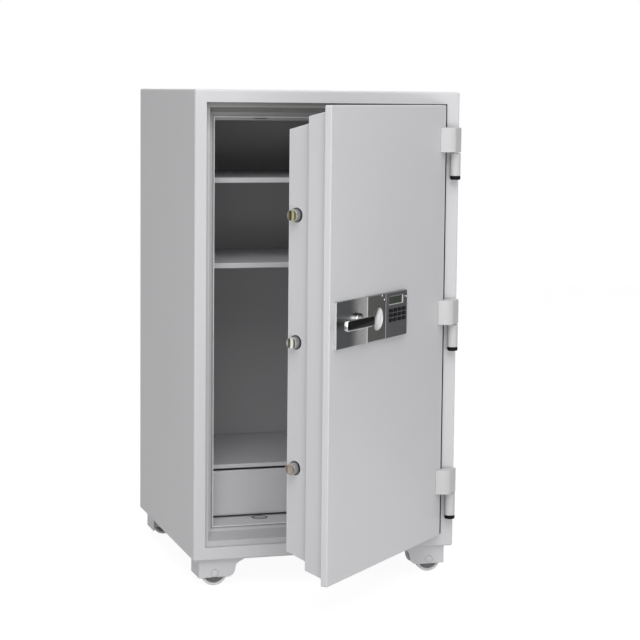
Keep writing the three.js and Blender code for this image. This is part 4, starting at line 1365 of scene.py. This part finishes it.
@dataclass
class Caster:
    """A caster: its folded bracket, the end of its axle and its wheel."""

    corner: Corner
    edge: float = 0.8 * MM
    fold: float = 4 * MM
    rim: float = 6 * MM
    sunk: float = 3 * MM
    axle: float = 8 * MM
    axle_play: float = 0.3 * MM
    hub: float = 5 * MM
    face_inset: float = 0.8 * MM
    face_proud: float = 0.3 * MM
    face_under: float = 0.2 * MM
    axle_end: float = 9.3 * MM
    axle_sunk: float = 2 * MM
    axle_dome: float = 1.6 * MM
    steps: int = 72

    def build(self) -> None:
        """Builds and dresses the caster."""
        self._bracket()
        self._wheel()
        self._axle_end()

    def _bracket(self) -> None:
        """Rounds the bracket's fold and softens its other edges."""
        node = f"caster_bracket_{self.corner.value}"
        span = ROOM.box(node)
        side = span.low.x if span.middle.x < 0 else span.high.x
        face = span.low.y if self.corner.at_front else span.high.y
        edge = Vector((side, face, 0))
        work = Work.copy_of(node)
        fold = [e for e in work.running(Axis.UPRIGHT) if (e.verts[0].co - edge).xy.length < NEAR]
        work.round(fold, self.fold, segments=5).soften(self.edge)
        work.done(f"{node}_sheet", BODY_PAINT, Body.CABINET.value, Slot.BODY_PAINT, [node])

    def _wheel(self) -> None:
        """Turns the wheel, with a raised rim and a sunk disc on both sides."""
        node = f"caster_wheel_{self.corner.value}"
        span = ROOM.box(node)
        radius, half = span.size.z / 2, span.size.y / 2
        inner, bore = radius - self.rim, self.axle + self.axle_play
        sunk = half - self.sunk
        hub = bore + self.hub
        side = [
            (bore, half - 1 * MM), (hub - 0.5 * MM, half - 1 * MM), (hub, half - 1.5 * MM),
            (hub + 1 * MM, sunk), (inner - 1 * MM, sunk), (inner, sunk + 0.8 * MM),
            (inner + 0.6 * MM, half - 0.4 * MM),
            (inner + 1.2 * MM, half), (radius - 2 * MM, half), (radius - 0.6 * MM, half - 0.6 * MM),
            (radius, half - 2 * MM),
        ]
        profile = side + [(r, -h) for r, h in reversed(side)] + [side[0]]
        seat = Matrix.Translation(span.middle)
        Work.turned(profile, self.steps).carried(TO_FRONT, seat).done(
            f"wheel_{self.corner.value}_disc", WHEEL_PAINT, f"wheel_{self.corner.value}", Slot.WHEEL, [node])
        near, far = hub + self.face_inset, inner - self.face_inset
        for way, name in ((1, "front"), (-1, "back")):
            level, under = way * (sunk + self.face_proud), way * (sunk - self.face_under)
            face = [(near, under), (far, under), (far, level), (near, level), (near, under)]
            Work.turned(face, self.steps).carried(TO_FRONT, seat).done(
                f"wheel_{self.corner.value}_{name}", WHEEL_FACE, f"wheel_{self.corner.value}", Slot.WHEEL)

    def _axle_end(self) -> None:
        """Turns the domed end of the axle that shows in the bracket's keyhole."""
        bracket = ROOM.box(f"caster_bracket_{self.corner.value}")
        wheel = ROOM.box(f"caster_wheel_{self.corner.value}").middle
        outer = bracket.low.y if self.corner.at_front else bracket.high.y
        facing = TO_FRONT if self.corner.at_front else TO_BACK
        end = dome(self.axle_end, self.axle_dome, steps=8)
        profile = [(0, -self.axle_sunk), (self.axle_end, -self.axle_sunk), *end]
        Work.turned(profile, steps=40).carried(facing, Matrix.Translation((wheel.x, outer, wheel.z))).done(
            f"axle_end_{self.corner.value}", BODY_PAINT, Body.CABINET.value, Slot.BODY_PAINT)


@dataclass
class Door:
    """The door's panel and the stepped boxes behind it."""

    panel_corner: float = 4.5 * MM
    panel_edge: float = 2.4 * MM
    back_edge: float = 1 * MM
    step_edge: float = 2.2 * MM
    cover_edge: float = 0.9 * MM
    sheet_edge: float = 0.4 * MM
    mouth: float = 1 * MM

    def build(self) -> None:
        """Builds and dresses the door."""
        self._panel()
        self._step("door_step", self.step_edge)
        self._step("bolt_box", self.step_edge)
        self._step("door_back_cover", self.cover_edge)
        dress("door_insulation", FIRE_FILL)

    def _panel(self) -> None:
        """Folds the front panel, rounded all round its face."""
        panel = DOOR.box("door_panel")
        work = Work.block(panel.low, panel.high)
        work.round(work.running(Axis.DEPTH), self.panel_corner, segments=6)
        work.round(work.in_front(panel.middle.y), self.panel_edge, segments=5)
        work.soften(self.back_edge, angle=60)
        work.carried(DOOR.matrix)
        work.done("door_front_panel", BODY_PAINT, Body.DOOR.value, Slot.BODY_PAINT, ["door_panel"])

    def _step(self, node: str, radius: float) -> None:
        """Rounds a step's folds and softens its other edges.

        Args:
            node: The step's solid.
            radius: Radius of its folds.
        """
        work = Work.copy_of(node).carried(DOOR.back)
        open_back = max(v.co.y for v in work.mesh.verts) if node == "bolt_box" else math.inf
        folds = [e for e in work.outer() if min(v.co.y for v in e.verts) < open_back - self.mouth]
        work.round(folds, radius, segments=4).soften(self.sheet_edge, angle=50).carried(DOOR.matrix)
        work.done(f"{node}_sheet", BODY_PAINT, Body.DOOR.value, Slot.BODY_PAINT, [node])


@dataclass
class BoltWork:
    """The three bolts, with the bar and the cam that draw them."""

    rim: float = 1 * MM
    nose: float = 4 * MM
    recess: float = 10.5 * MM
    recess_deep: float = 1.6 * MM
    recess_dish: float = 1.2 * MM
    dish_steps: int = 8
    steps: int = 64

    def build(self) -> None:
        """Builds and dresses the bolt work."""
        for height, finish in zip(Height, (BOLT_YELLOW_PAINTED_REFLECTION, BOLT_PALE_PAINTED_REFLECTION, BOLT_DULL_PAINTED_REFLECTION)):
            self._bolt(height, finish)
        dress("bolt_bar", BOLT_STEEL)
        dress("bolt_cam", BOLT_STEEL)

    def _bolt(self, height: Height, end_finish: Finish) -> None:
        """Turns a bolt: a plain sleeve, and an end with a sunk middle.

        Args:
            height: Which bolt it is.
            end_finish: Finish of its end.
        """
        node = f"bolt_{height.value}"
        span = DOOR.box(node)
        radius, length = span.size.z / 2, span.size.x
        end = radius - self.rim
        seat = Matrix.Translation((span.low.x, span.middle.y, span.middle.z))
        sleeve = [
            (0, length), (radius, length), (radius, 1.2 * MM), (radius - 0.2 * MM, 0.7 * MM),
            (end + 0.3 * MM, 0.4 * MM), (end, 0.35 * MM), (end, self.nose), (0, self.nose),
        ]
        Work.turned(sleeve, self.steps).carried(TO_RIGHT, seat, DOOR.matrix).done(
            f"bolt_{height.value}_sleeve", BOLT_STEEL, Body.BOLTS.value, Slot.BRIGHT_STEEL, [node])
        deep = self.recess_deep
        back = deep + self.recess_dish + 1 * MM
        floor = self.recess - 0.4 * MM
        shares = [1 - i / self.dish_steps for i in range(self.dish_steps + 1)]
        dish = [(floor * share, deep + self.recess_dish * (1 - share**2)) for share in shares]
        nose = [
            (0, back), (end - 0.3 * MM, back), (end - 0.3 * MM, 0.3 * MM), (end - 0.8 * MM, 0),
            (self.recess + 0.6 * MM, 0), (self.recess, 0.3 * MM), *dish,
        ]
        Work.turned(nose, self.steps).carried(TO_RIGHT, seat, DOOR.matrix).done(
            f"bolt_{height.value}_end", end_finish, Body.BOLTS.value, Slot.BRIGHT_STEEL)


@dataclass(frozen=True)
class Screw:
    """A small screw, placed to the right of and above the keypad block's upper left corner."""

    right: float
    up: float
    radius: float
    tall: float


@dataclass
class LockPlates:
    """The lever plate with its raised right end, the flat plate with its dish, and the screws."""

    edge: float = 0.6 * MM
    corner: float = 3.5 * MM
    seat: float = 21 * MM
    flat_edge: float = 0.4 * MM
    dish_chamfer: float = 1 * MM
    dish_edge: float = 0.5 * MM
    dish_bite: float = 0.15 * MM
    dish_wall: float = 1.2 * MM
    dish_lip: float = 1.6 * MM
    crown: float = 0.9 * MM
    screw_sunk: float = 0.6 * MM
    screws: tuple[Screw, ...] = (
        Screw(-15.4 * MM, -3.6 * MM, 2.4 * MM, 1.2 * MM),
        Screw(-3.6 * MM, -14.6 * MM, 2.4 * MM, 1.2 * MM),
        Screw(111.0 * MM, -15.2 * MM, 2.6 * MM, 3.0 * MM),
    )

    def build(self) -> None:
        """Builds and dresses the plates."""
        self._lever_plate()
        Work.copy_of("dish_plate").soften(self.flat_edge).done(
            "dish_plate_face", DARK_STEEL, Body.DOOR.value, Slot.DARK_BRUSHED, ["dish_plate"])
        self._dish()
        self._screws()

    def _lever_plate(self) -> None:
        """Softens the lever plate all round, and not round the rose's seat."""
        rose = DOOR.box("lever_spindle").middle
        work = Work.copy_of("lever_plate").carried(DOOR.back)
        right = max(v.co.x for v in work.mesh.verts)
        corners = [e for e in work.running(Axis.DEPTH) if e.verts[0].co.x > right - NEAR]
        work.round(corners, self.corner, segments=6)
        rim = work.sharp(test=lambda e: all((v.co - rose).xz.length > self.seat for v in e.verts))
        work.round(rim, self.edge).carried(DOOR.matrix)
        work.done("lever_plate_face", PLATE_PAINTED_REFLECTION, Body.DOOR.value, Slot.BRUSHED, ["lever_plate"])

    def _dish(self) -> None:
        """Turns the polished dish."""
        span = DOOR.box("lock_dish")
        radius, deep = span.size.x / 2, span.size.y
        bowl = [(r, -h) for r, h in dome(radius - self.dish_lip, deep - self.dish_wall, steps=20)]
        side = soft_disc(radius, deep, self.dish_chamfer, self.dish_edge, self.dish_bite)
        profile = [(0, -deep), *side, *bowl]
        seat = Matrix.Translation((span.middle.x, span.low.y, span.middle.z))
        Work.turned(profile, steps=96).carried(TO_FRONT, seat, DOOR.matrix).done(
            "dish_bowl", DISH_PAINTED_REFLECTION, Body.DOOR.value, Slot.CHROME, ["lock_dish"])

    def _screws(self) -> None:
        """Sets the small bright screws on the plates."""
        plate, pad = DOOR.box("dish_plate"), DOOR.box("keypad_housing")
        for number, screw in enumerate(self.screws, start=1):
            front = plate.low.y if screw.right < 0 else pad.low.y
            seat = Matrix.Translation((pad.low.x + screw.right, front, pad.high.z + screw.up))
            crown = arc(screw.radius - self.crown, screw.tall - self.crown, self.crown, 0, 90, steps=6)
            profile = [(0, -self.screw_sunk), (screw.radius, -self.screw_sunk), *crown, (0, screw.tall)]
            Work.turned(profile, steps=32).carried(TO_FRONT, seat, DOOR.matrix).done(
                f"plate_screw_{number}", CHROME, Body.DOOR.value, Slot.CHROME)


@dataclass
class Keypad:
    """The keypad block, its display and its keys."""

    rows: int = 3
    columns: int = 4
    legends: str = "1234567890*#"
    legend_tall: float = 4.8 * MM
    legend_thick: float = 0.06 * MM
    block_edge: float = 0.3 * MM
    key_corner: float = 1.1 * MM
    key_edge: float = 0.7 * MM
    bezel: float = 1.7 * MM
    bezel_front: float = 0.5 * MM
    bezel_edge: float = 0.12 * MM
    bezel_room: float = 0.2 * MM
    bezel_sunk: float = 0.1 * MM
    pane_clear: float = 0.05 * MM

    def build(self) -> None:
        """Builds and dresses the keypad."""
        Work.copy_of("keypad_housing").soften(self.block_edge).done(
            "keypad_block", KEYPAD_METAL, Body.DOOR.value, Slot.DARK_BRUSHED, ["keypad_housing"])
        self._display()
        for row in range(self.rows):
            for column in range(self.columns):
                self._key(f"key_{row + 1}_{column + 1}", self.legends[row * self.columns + column])

    def _display(self) -> None:
        """Makes the display's pane and the frame that slopes down to it."""
        span = DOOR.box("display_window")
        work = Work.block(span.low, span.high).soften(self.block_edge).carried(DOOR.matrix)
        work.done("display_pane", DISPLAY_PANE, Body.DOOR.value, Slot.DISPLAY, ["display_window"])
        front = DOOR.box("keypad_housing").low.y
        room = Vector((self.bezel_room, 0, self.bezel_room))
        low = Vector((span.low.x, front + self.bezel_sunk, span.low.z)) - room
        high = Vector((span.high.x, span.low.y - self.pane_clear, span.high.z)) + room
        work = Work.ring(low, high, self.bezel_front, self.bezel).soften(self.bezel_edge).carried(DOOR.matrix)
        work.done("display_bezel", BEZEL_PAINTED_HIGHLIGHT, Body.DOOR.value, Slot.DISPLAY)

    def _key(self, node: str, legend: str) -> None:
        """Makes a key and the legend on it.

        Args:
            node: Name of the key's solid and of its body.
            legend: The character on the key.
        """
        span = DOOR.box(node)
        work = Work.block(span.low, span.high)
        work.round(work.running(Axis.DEPTH), self.key_corner, segments=4)
        work.round(work.in_front(span.middle.y, angle=40), self.key_edge)
        work.carried(DOOR.matrix).done(f"{node}_cap", KEY_BLACK, node, Slot.KEY_PLASTIC, [node])
        self._legend(node, legend)

    def _legend(self, node: str, legend: str) -> None:
        """Prints a character on a key's face.

        Args:
            node: Name of the key's solid and of its body.
            legend: The character.
        """
        key = DOOR.box(node)
        curve = bpy.data.curves.new("legend", "FONT")
        curve.body = legend
        curve.size = self.legend_tall
        curve.align_x = "CENTER"
        curve.align_y = "CENTER"
        curve.extrude = self.legend_thick / 2
        curve.resolution_u = 3
        text = bpy.data.objects.new("legend", curve)
        mesh = bpy.data.meshes.new_from_object(text)
        bpy.data.objects.remove(text)
        bpy.data.curves.remove(curve)
        work = Work()
        work.mesh.from_mesh(mesh)
        bpy.data.meshes.remove(mesh)
        seat = Matrix.Translation((key.middle.x, key.low.y - self.legend_thick / 2, key.middle.z))
        work.carried(TO_FRONT, seat, DOOR.matrix).done(f"{node}_legend", LEGEND_WHITE, node, Slot.KEY_PLASTIC)


@dataclass
class Lever:
    """The lever handle, its grip and the rose that it turns in."""

    end_radius: float = 7 * MM
    edge: float = 2.2 * MM
    grip_corner: float = 4 * MM
    grip_edge: float = 1.6 * MM
    grip_ridge: float = 1.3 * MM
    rose: float = 20 * MM
    rose_back: float = 4.3 * MM
    rose_front: float = 16.5 * MM
    rose_edge: float = 3 * MM
    stem: float = 9 * MM
    spindle: float = 6 * MM

    def build(self) -> None:
        """Builds and dresses the lever."""
        self._bar()
        self._grip()
        self._rose()

    def _bar(self) -> None:
        """Makes the plated bar."""
        span = DOOR.box("lever_handle")
        work = Work.block(span.low, span.high)
        work.round(work.running(Axis.DEPTH), self.end_radius, segments=10)
        work.soften(self.edge, segments=4, angle=40)
        work.carried(DOOR.matrix).done("lever_bar", LEVER_PAINTED_REFLECTION, Body.LEVER.value, Slot.CHROME,
                                       ["lever_handle"])

    def _grip(self) -> None:
        """Makes the black grip on the bar's front, with a soft ridge along its middle."""
        span = DOOR.box("lever_grip")
        work = Work.block(span.low, span.high)
        work.round(work.running(Axis.DEPTH), self.grip_corner, segments=6)
        bmesh.ops.bisect_plane(work.mesh, geom=[*work.mesh.verts, *work.mesh.edges, *work.mesh.faces],
                               dist=LEVEL, plane_co=span.middle, plane_no=(0, 0, 1))
        for vert in work.mesh.verts:
            off = abs(vert.co.z - span.middle.z) / (span.size.z / 2)
            if vert.co.y < span.middle.y:
                vert.co.y += self.grip_ridge * off
        work.round(work.in_front(span.middle.y, angle=50), self.grip_edge, segments=4)
        work.carried(DOOR.matrix).done("lever_black_grip", GRIP_PAINTED_REFLECTION, Body.LEVER.value, Slot.BLACK_PLASTIC,
                                       ["lever_grip"])

    def _rose(self) -> None:
        """Turns the rose and the stem, with the spindle that goes on through the door."""
        span = DOOR.box("lever_spindle")
        face = DOOR.box("lever_plate").high.y + GAP
        tail, tip = span.high.y - face, face - span.low.y
        bar = face - DOOR.box("lever_handle").high.y - GAP
        fold = self.rose_edge
        edge = arc(self.rose - fold, self.rose_front - fold, fold, 0, 90, steps=8)
        neck = self.rose_front + 3 * MM
        profile = [
            (0, -tail), (self.spindle, -tail), (self.spindle, self.rose_back), (self.rose, self.rose_back),
            *edge, (self.stem + 3 * MM, self.rose_front), (self.stem + 1 * MM, self.rose_front + 0.8 * MM),
            (self.stem, neck), (self.stem, bar), (self.spindle, bar), (self.spindle, tip), (0, tip),
        ]
        seat = Matrix.Translation((span.middle.x, face, span.middle.z))
        Work.turned(profile, steps=80).carried(TO_FRONT, seat, DOOR.matrix).done(
            "lever_rose", ROSE_PAINTED_REFLECTION, Body.LEVER.value, Slot.CHROME, ["lever_spindle"])


@dataclass(frozen=True)
class Viewpoint:
    """The photograph's camera, fitted to the safe's edges, from the cabinet's lower left front corner."""

    x: float = -1.0944
    y: float = -4.6814
    z: float = 1.1827
    yaw: float = 0.30843
    pitch: float = 0.099408
    roll: float = -0.01122
    focal_pixels: float = 1932.7
    centre_u: float = 346.03
    centre_v: float = 286.33
    image: float = 640.0
    sensor: float = 36.0
    nearest: float = 0.1
    farthest: float = 60.0

    def build(self) -> None:
        """Makes the camera."""
        data = bpy.data.cameras.new("camera")
        data.sensor_width = self.sensor
        data.lens = self.focal_pixels / self.image * self.sensor
        data.shift_x = 0.5 - self.centre_u / self.image
        data.shift_y = self.centre_v / self.image - 0.5
        data.clip_start, data.clip_end = self.nearest, self.farthest
        camera = bpy.data.objects.new("camera", data)
        bpy.context.scene.collection.objects.link(camera)
        flat = math.cos(self.pitch)
        ahead = Vector((math.sin(self.yaw) * flat, math.cos(self.yaw) * flat, -math.sin(self.pitch)))
        right = Vector((math.cos(self.yaw), -math.sin(self.yaw), 0.0))
        down = ahead.cross(right)
        across = right * math.cos(self.roll) + down * math.sin(self.roll)
        below = down * math.cos(self.roll) - right * math.sin(self.roll)
        axes = Matrix((across, -below, -ahead)).transposed().to_4x4()
        corner = ROOM.box("cabinet_casing").low
        camera.matrix_world = Matrix.Translation(corner + Vector((self.x, self.y, self.z))) @ axes
        bpy.context.scene.camera = camera


@dataclass(frozen=True)
class Lamp:
    """A soft lamp: where it hangs, what it faces, its width and height, and its power in watts."""

    name: str
    place: tuple[float, float, float]
    target: tuple[float, float, float]
    size: tuple[float, float]
    watts: float

    def build(self) -> None:
        """Hangs the lamp."""
        data = bpy.data.lights.new(self.name, "AREA")
        data.shape = "RECTANGLE"
        data.size, data.size_y = self.size
        data.energy = self.watts
        lamp = bpy.data.objects.new(self.name, data)
        bpy.context.scene.collection.objects.link(lamp)
        place = Vector(self.place)
        facing = (Vector(self.target) - place).to_track_quat("-Z", "Y")
        lamp.matrix_world = Matrix.Translation(place) @ facing.to_matrix().to_4x4()


@dataclass
class Studio:
    """A pale floor, a white surround, soft lamps and a grey card that the bright metal mirrors."""

    floor_reach: float = 14.0
    surround: float = 0.33
    card_place: tuple[float, float, float] = (1.39, 0.98, 0.65)
    card_wide: float = 2.8
    card_tall: float = 1.3
    lamps: tuple[Lamp, ...] = (
        Lamp("key_softbox", (-0.8, -3.6, 3.6), (0.0, 0.0, 0.5), (3.2, 2.6), 85.0),
        Lamp("right_softbox", (3.4, -2.6, 0.8), (0.1, 0.0, 0.2), (1.8, 1.8), 14.0),
        Lamp("low_softbox", (-0.9, -3.4, 0.45), (0.0, 0.0, 0.05), (2.6, 0.7), 31.0),
        Lamp("top_softbox", (0.0, -1.2, 3.8), (0.0, -1.0, 0.0), (2.4, 2.4), 40.0),
    )

    def build(self) -> None:
        """Builds the studio."""
        self._world()
        floor = Work.sheet(self.floor_reach, self.floor_reach).placed("floor", FLOOR_SWEEP)
        self._card()
        for lamp in self.lamps:
            lamp.build()
        view = bpy.context.scene.view_settings
        view.view_transform = "Standard"

    def _world(self) -> None:
        """Makes the surround white to look at and plain as a light."""
        world = bpy.data.worlds.new("studio")
        world.use_nodes = True
        bpy.context.scene.world = world
        graph = Graph(world.node_tree, "ShaderNodeOutputWorld")
        strength = self.surround + (1.0 - self.surround) * graph.seen()
        graph.show(graph.node("ShaderNodeBackground", {}, {"Color": WHITE, "Strength": strength}))

    def _card(self) -> None:
        """Stands a grey card to the right, which shows only in the bright metal."""
        work = Work.sheet(self.card_wide, self.card_tall)
        work.carried(TO_FRONT, Matrix.Rotation(-DOOR_AJAR, 4, "Z"), Matrix.Translation(self.card_place))
        card = work.placed("grey_card", GREY_CARD)
        card.visible_camera = False
        card.visible_diffuse = False
        card.visible_shadow = False


def main() -> None:
    """Builds the camera, the safe and the studio."""
    logging.basicConfig(level=logging.INFO, format="%(name)s: %(message)s")
    hinges = [Hinge(height) for height in Height]
    casters = [Caster(corner) for corner in Corner]
    door = [Door(), BoltWork(), LockPlates(), Keypad(), Lever()]
    for part in (Viewpoint(), Cabinet(), Interior(), *hinges, *casters, *door, Studio()):
        part.build()


if __name__ == "__main__":
    main()
